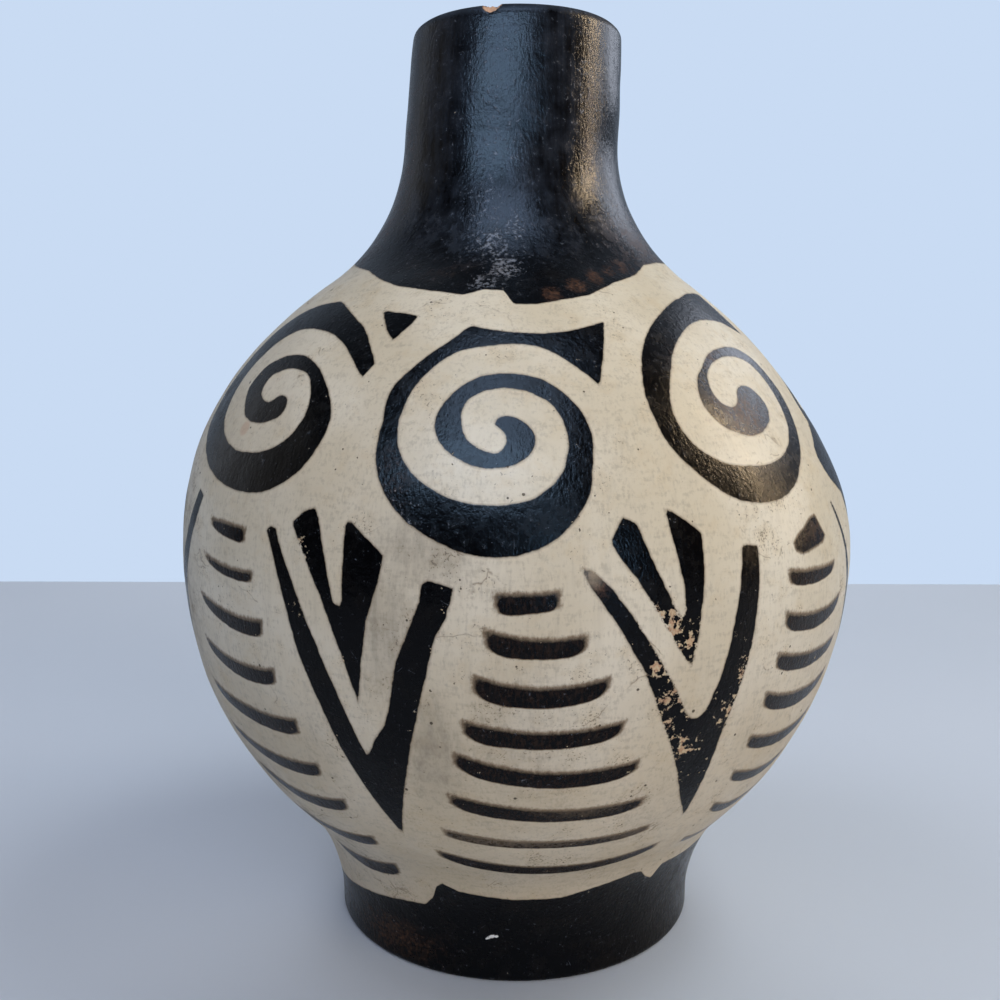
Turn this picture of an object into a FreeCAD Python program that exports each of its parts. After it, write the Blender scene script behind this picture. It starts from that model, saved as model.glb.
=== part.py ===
import FreeCAD, Part
import os
import Sketcher
from FreeCAD import Vector

# Hand-built pottery vase, in millimetres, with +Z up.
# The origin is the middle of the face that the foot stands on.
# The outline is a chain of tangent arcs, one for each clay member, so every centre, seam and height
# follows from the sizes below. The wall's inner face is concentric with its outer face.

document = FreeCAD.newDocument("PotteryVase")

# Driving sizes, and what each one measures
driving_sizes = [
    ("bellyRadius", 77.0, "widest circle, outside"),
    ("bowlArcRadius", 83.0, "outline below the widest circle"),
    ("courseArcRadius", 60.0, "outline just above the widest circle"),
    ("courseSweepAngle", 30.0, "degrees that the belly course turns through"),
    ("shoulderArcRadius", 92.5, "outline of the flatter shoulder"),
    ("flareArcRadius", 37.5, "hollow sweep from shoulder into neck"),
    ("throatRadius", 24.2, "neck outside, where the flare ends"),
    ("neckArcRadius", 300.0, "slight inward curve of the neck above the throat"),
    ("neckRise", 24.9, "throat to the top of the lip"),
    ("wallThickness", 6.0, "clay wall of belly, flare and throat"),
    ("floorRadius", 22.0, "flat discs under and inside the bowl"),
    ("footRadius", 42.4, "foot outside"),
    ("footFlareRadius", 38.0, "hollow sweep from foot into belly"),
    ("footSweepHeight", 4.0, "upright side of the foot, below its hollow sweep"),
    ("footRingWidth", 11.0, "standing face across the ring"),
    ("footEdgeRound", 1.2, "worn lower edges of the foot"),
    ("seatDepth", 1.5, "scored seat that takes the foot ring"),
    ("seamLap", 3.0, "rise of each bevelled seam along the wall"),
    ("lipHeight", 5.0, "lip coil above the inner edge of its seam"),
    ("coilReach", 3.5, "how far a pressed-in coil laps past its seam, each way"),
    ("coilBulge", 2.0, "how far such a coil stands off the wall"),
    ("cutOverrun", 2.0, "how far a cut runs past the clay"),
]

# Inner radii, centres and heights, worked out from the driving sizes from the foot upwards
derived_places = [
    ("bowlCentreR", "Sizes.bellyRadius - Sizes.bowlArcRadius"),
    ("courseCentreR", "Sizes.bellyRadius - Sizes.courseArcRadius"),
    ("bowlInner", "Sizes.bowlArcRadius - Sizes.wallThickness"),
    ("courseInner", "Sizes.courseArcRadius - Sizes.wallThickness"),
    ("shoulderInner", "Sizes.shoulderArcRadius - Sizes.wallThickness"),
    ("flareInner", "Sizes.flareArcRadius + Sizes.wallThickness"),
    ("boreRadius", "Sizes.throatRadius - Sizes.wallThickness"),
    ("footBore", "Sizes.footRadius - Sizes.footRingWidth"),
    ("footCentreR", "Sizes.footRadius + Sizes.footFlareRadius"),
    ("footSeamCos", "(footCentreR - bowlCentreR) / (Sizes.bowlArcRadius + Sizes.footFlareRadius)"),
    ("footSeamSin", "sqrt(1 - footSeamCos ^ 2)"),
    ("bellyZ", "Sizes.footSweepHeight + (Sizes.bowlArcRadius + Sizes.footFlareRadius) * footSeamSin"),
    ("seatArcRadius", "Sizes.bowlArcRadius - Sizes.seatDepth"),
    ("seatCutRadius", "Sizes.bowlArcRadius + Sizes.cutOverrun"),
    ("sweepCos", "cos(Sizes.courseSweepAngle)"),
    ("sweepSin", "sin(Sizes.courseSweepAngle)"),
    ("shoulderSeamR", "courseCentreR + Sizes.courseArcRadius * sweepCos"),
    ("shoulderSeamZ", "bellyZ + Sizes.courseArcRadius * sweepSin"),
    ("shoulderCentreR", "shoulderSeamR - Sizes.shoulderArcRadius * sweepCos"),
    ("shoulderCentreZ", "shoulderSeamZ - Sizes.shoulderArcRadius * sweepSin"),
    ("flareCentreR", "Sizes.throatRadius + Sizes.flareArcRadius"),
    ("neckSeamCos", "(flareCentreR - shoulderCentreR) / (Sizes.shoulderArcRadius + Sizes.flareArcRadius)"),
    ("neckSeamSin", "sqrt(1 - neckSeamCos ^ 2)"),
    ("throatZ", "shoulderCentreZ + (Sizes.shoulderArcRadius + Sizes.flareArcRadius) * neckSeamSin"),
    ("neckCentreR", "Sizes.throatRadius - Sizes.neckArcRadius"),
    ("topZ", "throatZ + Sizes.neckRise"),
    ("lipBevelZ", "topZ - Sizes.lipHeight"),
]

# The lip's crest is the one round that touches bore, neck and top
derived_places += [
    ("boreToNeckCentre", "boreRadius - neckCentreR"),
    ("crestSum", "boreToNeckCentre - Sizes.neckRise + Sizes.neckArcRadius"),
    ("crestSquare", "boreToNeckCentre ^ 2 + Sizes.neckRise ^ 2 - Sizes.neckArcRadius ^ 2"),
    ("crestRadius", "sqrt(crestSum ^ 2 - crestSquare) - crestSum"),
    ("crestR", "boreRadius + crestRadius"),
    ("crestZ", "topZ - crestRadius"),
    ("crestTouchShare", "Sizes.neckArcRadius / (Sizes.neckArcRadius - crestRadius)"),
]


def fill_sheet(name, rows):
    """Puts names in column A, contents in column B with the names as aliases, and notes in column C."""
    sheet = document.addObject("Spreadsheet::Sheet", name)
    for number, (alias, content, note) in enumerate(rows, start=1):
        sheet.set("A%d" % number, alias)
        sheet.set("B%d" % number, content)
        sheet.set("C%d" % number, note)
        sheet.setAlias("B%d" % number, alias)
    return sheet


sizes = fill_sheet("Sizes", [(alias, str(size), note) for alias, size, note in driving_sizes])
fill_sheet("Places", [(alias, "=" + formula, "worked out") for alias, formula in derived_places])
document.recompute()


# Points and edges of an outline. A point is a pair of expressions, radius and height.

def on_axis(height):
    return ("0", height)


def at_direction(centre, radius, direction):
    """Point on an arc, in the direction whose cosine and sine are given."""
    centre_r, centre_z = centre
    across, up = direction
    return ("%s + %s * (%s)" % (centre_r, radius, across), "%s + %s * (%s)" % (centre_z, radius, up))


def at_height(centre, radius, height, side="+"):
    """Point on an arc at a height: on its far side from the axis, or with side "-" on its near side."""
    centre_r, centre_z = centre
    return ("%s %s sqrt(%s ^ 2 - (%s - (%s)) ^ 2)" % (centre_r, side, radius, height, centre_z), height)


def under_centre(centre, radius, distance):
    """Point on the lower half of an arc, at a distance from the axis."""
    centre_r, centre_z = centre
    return (distance, "%s - sqrt(%s ^ 2 - (%s - (%s)) ^ 2)" % (centre_z, radius, distance, centre_r))


def line_to(point):
    return (point, None, 0)


def arc_to(point, radius, turn):
    """Arc to a point: turn is 1 for anticlockwise and -1 for clockwise."""
    return (point, radius, turn)


# Where each arc is centred
bowl_centre = ("Places.bowlCentreR", "Places.bellyZ")
course_centre = ("Places.courseCentreR", "Places.bellyZ")
shoulder_centre = ("Places.shoulderCentreR", "Places.shoulderCentreZ")
flare_centre = ("Places.flareCentreR", "Places.throatZ")
neck_centre = ("Places.neckCentreR", "Places.throatZ")

# Which way a seam lies from the centres of the arcs that meet there, as a cosine and a sine
belly_direction = ("1", "0")
foot_direction = ("Places.footSeamCos", "-Places.footSeamSin")
shoulder_direction = ("Places.sweepCos", "Places.sweepSin")
neck_direction = ("Places.neckSeamCos", "Places.neckSeamSin")

# Outer and inner points where one member's arc meets the next
belly_outer = ("Sizes.bellyRadius", "Places.bellyZ")
belly_inner = ("Sizes.bellyRadius - Sizes.wallThickness", "Places.bellyZ")
shoulder_outer = ("Places.shoulderSeamR", "Places.shoulderSeamZ")
shoulder_inner = at_direction(shoulder_centre, "Places.shoulderInner", shoulder_direction)
neck_outer = at_direction(shoulder_centre, "Sizes.shoulderArcRadius", neck_direction)
neck_inner = at_direction(shoulder_centre, "Places.shoulderInner", neck_direction)
lip_outer = at_height(neck_centre, "Sizes.neckArcRadius", "Places.lipBevelZ - Sizes.seamLap")


def further_up(seam, distance, direction):
    """Height that the wall reaches a distance further up from a seam."""
    return "%s + %s * %s" % (seam[1], distance, direction[0])


# Inner edge of each bevelled seam, a lap further up the wall than its outer edge
belly_bevel = at_height(
    course_centre, "Places.courseInner", further_up(belly_inner, "Sizes.seamLap", belly_direction)
)
shoulder_bevel = at_height(
    shoulder_centre, "Places.shoulderInner", further_up(shoulder_inner, "Sizes.seamLap", shoulder_direction)
)
neck_bevel = at_height(
    flare_centre, "Places.flareInner", further_up(neck_inner, "Sizes.seamLap", neck_direction), "-"
)
lip_bevel = ("Places.boreRadius", "Places.lipBevelZ")

# The foot ring's seat, sunk into the bowl's underside
foot_seam = at_direction(bowl_centre, "Sizes.bowlArcRadius", foot_direction)
seat_end = at_direction(bowl_centre, "Places.seatArcRadius", foot_direction)
seat_start = under_centre(bowl_centre, "Places.seatArcRadius", "Places.footBore")


def number_of(expression):
    """Value of an expression on the sheets."""
    value = sizes.evalExpression(expression)
    return float(getattr(value, "Value", value))


def vector_of(point):
    return Vector(number_of(point[0]), number_of(point[1]), 0)


def arc_geometry(start, end, radius, turn):
    """The shorter arc between two points that bends the given way."""
    chord = end - start
    towards_centre = Vector(-chord.y, chord.x, 0).normalize() * turn
    centre = (start + end) / 2 + towards_centre * (radius ** 2 - (chord.Length / 2) ** 2) ** 0.5
    circle = Part.Circle(centre, Vector(0, 0, 1), radius)
    first, last = (start, end) if turn > 0 else (end, start)
    return Part.ArcOfCircle(circle, circle.parameter(first), circle.parameter(last))


def bind(sketch, constraint, expression):
    number = sketch.addConstraint(constraint)
    sketch.setExpression("Constraints[%d]" % number, expression)


def bind_end(sketch, edge, end, kind, expression):
    """Holds one coordinate of an edge's end, or puts the end on the sketch's own axis where that is zero."""
    across_axis, upright_axis = -1, -2
    origin = (across_axis, 1)
    if expression == "0":
        zero_axis = upright_axis if kind == "DistanceX" else across_axis
        sketch.addConstraint(Sketcher.Constraint("PointOnObject", edge, end, zero_axis))
    else:
        distance = Sketcher.Constraint(kind, *origin, edge, end, number_of(expression))
        bind(sketch, distance, expression)


def draw_outline(sketch, start, edges):
    """Draws a closed outline, joins its edges, and binds its points and radii to the sheets."""
    first_end, last_end = 1, 2
    drawn = []
    here = vector_of(start)
    for point, radius, turn in edges:
        there = vector_of(point)
        if radius is None:
            shape = Part.LineSegment(here, there)
        else:
            shape = arc_geometry(here, there, number_of(radius), turn)
        first, last = (last_end, first_end) if turn < 0 else (first_end, last_end)
        drawn.append((sketch.addGeometry(shape, False), first, last))
        here = there
    for (edge, _, last), (following, first, _) in zip(drawn, drawn[1:] + drawn[:1]):
        sketch.addConstraint(Sketcher.Constraint("Coincident", edge, last, following, first))
    for (edge, _, last), (point, radius, _) in zip(drawn, edges):
        bind_end(sketch, edge, last, "DistanceX", point[0])
        bind_end(sketch, edge, last, "DistanceY", point[1])
        if radius is not None:
            bind(sketch, Sketcher.Constraint("Radius", edge, number_of(radius)), radius)


# Bodies and their features

def new_sketch(body, name, start, edges):
    """Sketch on the body's own upright plane, with radius across and height up."""
    upright = next(plane for plane in body.Origin.OriginFeatures if plane.Role == "XZ_Plane")
    sketch = body.newObject("Sketcher::SketchObject", name)
    sketch.AttachmentSupport = [(upright, "")]
    sketch.MapMode = "FlatFace"
    draw_outline(sketch, start, edges)
    document.recompute()
    return sketch


def turn_feature(body, kind, name, sketch):
    """Revolution or groove of a sketch, once round the vase's axis."""
    feature = body.newObject("PartDesign::" + kind, name)
    feature.Profile = sketch
    feature.ReferenceAxis = (sketch, ["V_Axis"])
    feature.Angle = 360.0
    body.Tip = feature
    document.recompute()


def turned_body(label, start, edges):
    """Body made by turning one closed outline."""
    body = document.addObject("PartDesign::Body", label)
    body.Label = label
    body.Placement = FreeCAD.Placement()
    turn_feature(body, "Revolution", label + "_turned", new_sketch(body, label + "_outline", start, edges))
    return body


def round_standing_edges(body, name, radius):
    """Rounds the circles that bound the standing face."""
    base = body.Tip
    circles = [
        "Edge%d" % number
        for number, edge in enumerate(base.Shape.Edges, start=1)
        if isinstance(edge.Curve, Part.Circle) and round(edge.Curve.Center.z, 6) == 0
    ]
    fillet = body.newObject("PartDesign::Fillet", name)
    fillet.Base = (base, circles)
    fillet.setExpression("Radius", radius)
    body.Tip = fillet
    document.recompute()


def make_foot_ring():
    """Standing ring, with a hollow sweep outside, hooked into its seat under the bowl."""
    body = turned_body("foot_ring", ("Places.footBore", "0"), [
        line_to(("Sizes.footRadius", "0")),
        line_to(("Sizes.footRadius", "Sizes.footSweepHeight")),
        arc_to(foot_seam, "Sizes.footFlareRadius", -1),
        line_to(seat_end),
        arc_to(seat_start, "Places.seatArcRadius", -1),
        line_to(("Places.footBore", "0")),
    ])
    round_standing_edges(body, "foot_edges", "Sizes.footEdgeRound")
    return body


def make_bowl():
    """Lower half with a flat floor, a raised inner edge, and a scored seat for the foot ring."""
    under_floor = under_centre(bowl_centre, "Sizes.bowlArcRadius", "Sizes.floorRadius")
    inside_floor = under_centre(bowl_centre, "Places.bowlInner", "Sizes.floorRadius")
    body = turned_body("bowl", on_axis(under_floor[1]), [
        line_to(under_floor),
        arc_to(belly_outer, "Sizes.bowlArcRadius", 1),
        line_to(belly_bevel),
        arc_to(belly_inner, "Places.courseInner", -1),
        arc_to(inside_floor, "Places.bowlInner", -1),
        line_to(on_axis(inside_floor[1])),
        line_to(on_axis(under_floor[1])),
    ])
    unseated_volume = body.Shape.Volume
    cut_end = at_direction(bowl_centre, "Places.seatCutRadius", foot_direction)
    cut_start = under_centre(bowl_centre, "Places.seatCutRadius", "Places.footBore")
    seat = new_sketch(body, "foot_seat_outline", seat_start, [
        arc_to(seat_end, "Places.seatArcRadius", 1),
        line_to(cut_end),
        arc_to(cut_start, "Places.seatCutRadius", -1),
        line_to(seat_start),
    ])
    turn_feature(body, "Groove", "foot_seat", seat)
    if body.Shape.Volume >= unseated_volume:
        raise RuntimeError("the foot seat cuts nothing")
    return body


def make_belly_course():
    """First course above the widest circle, lapped over the bowl's raised edge."""
    return turned_body("belly_course", belly_outer, [
        arc_to(shoulder_outer, "Sizes.courseArcRadius", 1),
        line_to(shoulder_bevel),
        arc_to(shoulder_inner, "Places.shoulderInner", -1),
        arc_to(belly_bevel, "Places.courseInner", -1),
        line_to(belly_outer),
    ])


def make_shoulder_course():
    """Flatter course that closes in to the foot of the neck."""
    return turned_body("shoulder_course", shoulder_outer, [
        arc_to(neck_outer, "Sizes.shoulderArcRadius", 1),
        line_to(neck_bevel),
        arc_to(neck_inner, "Places.flareInner", 1),
        arc_to(shoulder_bevel, "Places.shoulderInner", -1),
        line_to(shoulder_outer),
    ])


def make_neck():
    """Neck tube with its flare, and a straight bore."""
    return turned_body("neck", neck_outer, [
        arc_to(("Sizes.throatRadius", "Places.throatZ"), "Sizes.flareArcRadius", -1),
        arc_to(lip_outer, "Sizes.neckArcRadius", 1),
        line_to(lip_bevel),
        line_to(("Places.boreRadius", "Places.throatZ")),
        arc_to(neck_bevel, "Places.flareInner", 1),
        line_to(neck_outer),
    ])


def make_lip():
    """Coil that finishes the mouth, flush with the neck and the bore, with a full round crest."""
    crest_touch = (
        "Places.neckCentreR + (Places.crestR - Places.neckCentreR) * Places.crestTouchShare",
        "Places.throatZ + (Places.crestZ - Places.throatZ) * Places.crestTouchShare",
    )
    return turned_body("lip", lip_outer, [
        arc_to(crest_touch, "Sizes.neckArcRadius", 1),
        arc_to(("Places.crestR", "Places.topZ"), "Places.crestRadius", 1),
        arc_to(("Places.boreRadius", "Places.crestZ"), "Places.crestRadius", 1),
        line_to(lip_bevel),
        line_to(lip_outer),
    ])


def make_seam_coil(label, seam, direction, lower_wall, upper_wall, upper_turn=-1, upper_side="+"):
    """Roll of clay pressed over a seam from inside, lapping past both ends of its bevel.

    A wall is the centre and radius of its inner face; upper_turn and upper_side tell a hollow one."""
    lower_centre, lower_radius = lower_wall
    upper_centre, upper_radius = upper_wall
    low = at_height(lower_centre, lower_radius, further_up(seam, "(-Sizes.coilReach)", direction))
    high_z = further_up(seam, "(Sizes.seamLap + Sizes.coilReach)", direction)
    high = at_height(upper_centre, upper_radius, high_z, upper_side)
    chord_square = "((%s - (%s)) ^ 2 + (%s - (%s)) ^ 2)" % (high[0], low[0], high[1], low[1])
    face_radius = "(%s / 4 + Sizes.coilBulge ^ 2) / (2 * Sizes.coilBulge)" % chord_square
    return turned_body(label, low, [
        arc_to(high, face_radius, -1),
        arc_to(seam, upper_radius, upper_turn),
        arc_to(low, lower_radius, -1),
    ])


def make_seam_coils():
    bowl_wall = (bowl_centre, "Places.bowlInner")
    course_wall = (course_centre, "Places.courseInner")
    shoulder_wall = (shoulder_centre, "Places.shoulderInner")
    flare_wall = (flare_centre, "Places.flareInner")
    return [
        make_seam_coil("belly_seam_coil", belly_inner, belly_direction, bowl_wall, course_wall),
        make_seam_coil("shoulder_seam_coil", shoulder_inner, shoulder_direction, course_wall, shoulder_wall),
        make_seam_coil("neck_seam_coil", neck_inner, neck_direction, shoulder_wall, flare_wall, 1, "-"),
    ]


members = [
    make_foot_ring(),
    make_bowl(),
    make_belly_course(),
    make_shoulder_course(),
    make_neck(),
    make_lip(),
]
members += make_seam_coils()

# Nothing is written unless every object is sound
for thing in document.Objects:
    if "Invalid" in thing.State or "Error" in thing.State:
        raise RuntimeError("%s failed: %s" % (thing.Label, thing.State))
for member in members:
    if member.Shape.isNull() or not member.Shape.isValid():
        raise RuntimeError("%s has no valid shape" % member.Label)

os.makedirs("parts", exist_ok=True)
for member in members:
    member.Shape.exportStep("parts/%s.step" % member.Label)
    print("%s: %d solid, %.0f cubic mm" % (member.Label, len(member.Shape.Solids), member.Shape.Volume))
print("overall height %.2f mm" % number_of("Places.topZ"))
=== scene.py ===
import math

import bpy
import numpy as np
from mathutils import Euler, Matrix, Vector


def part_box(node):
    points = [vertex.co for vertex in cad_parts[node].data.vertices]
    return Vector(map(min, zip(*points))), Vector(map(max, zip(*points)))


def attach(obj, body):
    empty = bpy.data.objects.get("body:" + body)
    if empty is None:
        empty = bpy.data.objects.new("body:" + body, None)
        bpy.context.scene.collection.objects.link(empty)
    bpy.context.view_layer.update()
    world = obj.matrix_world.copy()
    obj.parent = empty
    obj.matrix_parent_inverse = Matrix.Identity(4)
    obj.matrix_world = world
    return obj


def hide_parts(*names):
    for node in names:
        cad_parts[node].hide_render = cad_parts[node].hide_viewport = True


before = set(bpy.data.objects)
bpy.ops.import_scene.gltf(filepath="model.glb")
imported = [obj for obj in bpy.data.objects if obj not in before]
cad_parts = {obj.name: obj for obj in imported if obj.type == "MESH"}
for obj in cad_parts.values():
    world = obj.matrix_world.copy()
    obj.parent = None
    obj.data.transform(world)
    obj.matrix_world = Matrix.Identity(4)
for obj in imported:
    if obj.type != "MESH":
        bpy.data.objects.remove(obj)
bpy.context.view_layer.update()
mm = 0.001
print("frame loaded:", len(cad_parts), "members")


# Nodes, for geometry and for shaders

class Wire:
    # One value in a node tree. Sums with it add Math nodes.
    def __init__(self, maker, socket):
        self.maker = maker
        self.socket = socket

    def sum(self, operation, *others):
        feeds = {place: value for place, value in enumerate((self, *others))}
        return self.maker.add("ShaderNodeMath", {"operation": operation}, feeds)

    def __add__(self, other):
        return self.sum("ADD", other)

    def __radd__(self, other):
        return self.sum("ADD", other)

    def __sub__(self, other):
        return self.sum("SUBTRACT", other)

    def __rsub__(self, other):
        return self.maker.add("ShaderNodeMath", {"operation": "SUBTRACT"}, {0: other, 1: self})

    def __mul__(self, other):
        return self.sum("MULTIPLY", other)

    def __rmul__(self, other):
        return self.sum("MULTIPLY", other)

    def __truediv__(self, other):
        return self.sum("DIVIDE", other)

    def __rtruediv__(self, other):
        return self.maker.add("ShaderNodeMath", {"operation": "DIVIDE"}, {0: other, 1: self})

    def most(self, other):
        return self.sum("MAXIMUM", other)

    def least(self, other):
        return self.sum("MINIMUM", other)

    def rise(self, low, high, bottom=0.0, top=1.0):
        # Smooth step from bottom to top while the value goes from low to high
        sockets = {0: self, 1: low, 2: high, 3: bottom, 4: top}
        return self.maker.add("ShaderNodeMapRange", {"interpolation_type": "SMOOTHSTEP"}, sockets)


class Maker:
    # Adds nodes to one tree
    def __init__(self, tree):
        self.tree = tree

    def add(self, kind, settings=None, sockets=None, output=0):
        node = self.tree.nodes.new(kind)
        for name, value in (settings or {}).items():
            if name == "curve":
                points = node.mapping.curves[0].points
                for place, spot in enumerate(value):
                    point = points[place] if place < 2 else points.new(*spot)
                    point.location = spot
                node.mapping.update()
            else:
                setattr(node, name, value)
        for name, value in (sockets or {}).items():
            if isinstance(value, Wire):
                self.tree.links.new(value.socket, node.inputs[name])
            else:
                node.inputs[name].default_value = value
        return Wire(self, node.outputs[output]) if len(node.outputs) else node

    def vector(self, operation, first, second, output=0):
        return self.add("ShaderNodeVectorMath", {"operation": operation}, {0: first, 1: second}, output)

    def mix(self, factor, first, second):
        # Colours: the node's colour sockets are numbers 6 and 7, and its colour result is number 2
        return self.add("ShaderNodeMix", {"data_type": "RGBA"}, {0: factor, 6: first, 7: second}, 2)

    def noise(self, place, grain, detail=2.0, rough=0.5):
        sockets = {"Vector": place, "Scale": 1 / grain, "Detail": detail, "Roughness": rough}
        return self.add("ShaderNodeTexNoise", None, sockets)

    def cells(self, place, grain, feature="F1", output=0):
        sockets = {"Vector": place, "Scale": 1 / grain}
        return self.add("ShaderNodeTexVoronoi", {"feature": feature}, sockets, output)


# The vase's outline: tangent arcs from the foot to the lip, in millimetres, as the frame has it

vase = {
    "bellyRadius": 77.0,
    "bowlArc": 83.0,
    "courseArc": 60.0,
    "courseSweep": 30.0,
    "shoulderArc": 92.5,
    "flareArc": 37.5,
    "throatRadius": 24.2,
    "neckArc": 300.0,
    "neckRise": 24.9,
    "wall": 6.0,
    "floorRadius": 22.0,
    "footRadius": 42.4,
    "footFlare": 38.0,
    "footSweepHeight": 4.0,
    "footRingWidth": 11.0,
    "footEdge": 1.2,
    "seatDepth": 1.5,
    "seamLap": 3.0,
    "lipHeight": 5.0,
    "coilReach": 3.5,
    "coilBulge": 2.0,
    "fineStep": 0.8,  # row spacing on the outside
    "coarseStep": 3.0,  # row spacing inside
    "turnSteps": 600,
    "coilTurnSteps": 240,
}


def polar(centre, radius, angle):
    turn = math.radians(angle)
    return (centre[0] + radius * math.cos(turn), centre[1] + radius * math.sin(turn))


def arcPoints(centre, radius, start, end, step):
    count = max(2, math.ceil(abs(math.radians(end - start)) * radius / step))
    return [polar(centre, radius, start + (end - start) * place / count) for place in range(count + 1)]


def linePoints(start, end, step):
    count = max(1, math.ceil(math.dist(start, end) / step))
    return [tuple(a + (b - a) * place / count for a, b in zip(start, end)) for place in range(count + 1)]


def turnAt(centre, radius, reach):
    # Direction below the horizontal at which an arc comes to this distance from the axis
    return -math.degrees(math.acos((reach - centre[0]) / radius))


footCentre = (vase["footRadius"] + vase["footFlare"], vase["footSweepHeight"])
bowlR = vase["bellyRadius"] - vase["bowlArc"]
footReach = vase["bowlArc"] + vase["footFlare"]
footTurn = math.degrees(math.acos((footCentre[0] - bowlR) / footReach))
bellyZ = footCentre[1] + footReach * math.sin(math.radians(footTurn))
bowlCentre = (bowlR, bellyZ)
courseCentre = (vase["bellyRadius"] - vase["courseArc"], bellyZ)
courseTurn = vase["courseSweep"]
shoulderCentre = polar(courseCentre, vase["courseArc"] - vase["shoulderArc"], courseTurn)
flareR = vase["throatRadius"] + vase["flareArc"]
flareReach = vase["shoulderArc"] + vase["flareArc"]
neckTurn = math.degrees(math.acos((flareR - shoulderCentre[0]) / flareReach))
throatZ = shoulderCentre[1] + flareReach * math.sin(math.radians(neckTurn))
flareCentre = (flareR, throatZ)
neckCentre = (vase["throatRadius"] - vase["neckArc"], throatZ)
topZ = throatZ + vase["neckRise"]
boreRadius = vase["throatRadius"] - vase["wall"]
# The crest round touches the outer face, the bore and the top plane
crestAcross = boreRadius - neckCentre[0]
crestSum = crestAcross - vase["neckRise"] + vase["neckArc"]
crestSquare = crestSum**2 - crestAcross**2 - vase["neckRise"]**2 + vase["neckArc"]**2
crestRound = math.sqrt(crestSquare) - crestSum
crestCentre = (boreRadius + crestRound, topZ - crestRound)
crestTurn = math.degrees(math.atan2(crestCentre[1] - neckCentre[1], crestCentre[0] - neckCentre[0]))
lipSeamZ = topZ - vase["lipHeight"] - vase["seamLap"]
lipSeamTurn = math.degrees(math.asin((lipSeamZ - throatZ) / vase["neckArc"]))

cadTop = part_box("lip")[1].z / mm
print("top by the outline", round(topZ, 3), "and by the frame", round(cadTop, 3))


def section(*stretches):
    # One closed outline. Each stretch is points and a kind: 1 painted outside, 0 bare, -1 inside a seam
    points, kinds = [], []
    for stretch, kind in stretches:
        for point in stretch:
            if points and math.dist(points[-1], point) < 0.01:
                kinds[-1] = max(kinds[-1], kind)
                continue
            points.append(point)
            kinds.append(kind)
    return points, kinds


def between(start, end):
    # The middle of a seam face, which stays hidden
    return ([tuple((a + b) / 2 for a, b in zip(start, end))], -1)


def lapTurn(radius):
    return math.degrees(vase["seamLap"] / radius)


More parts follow.
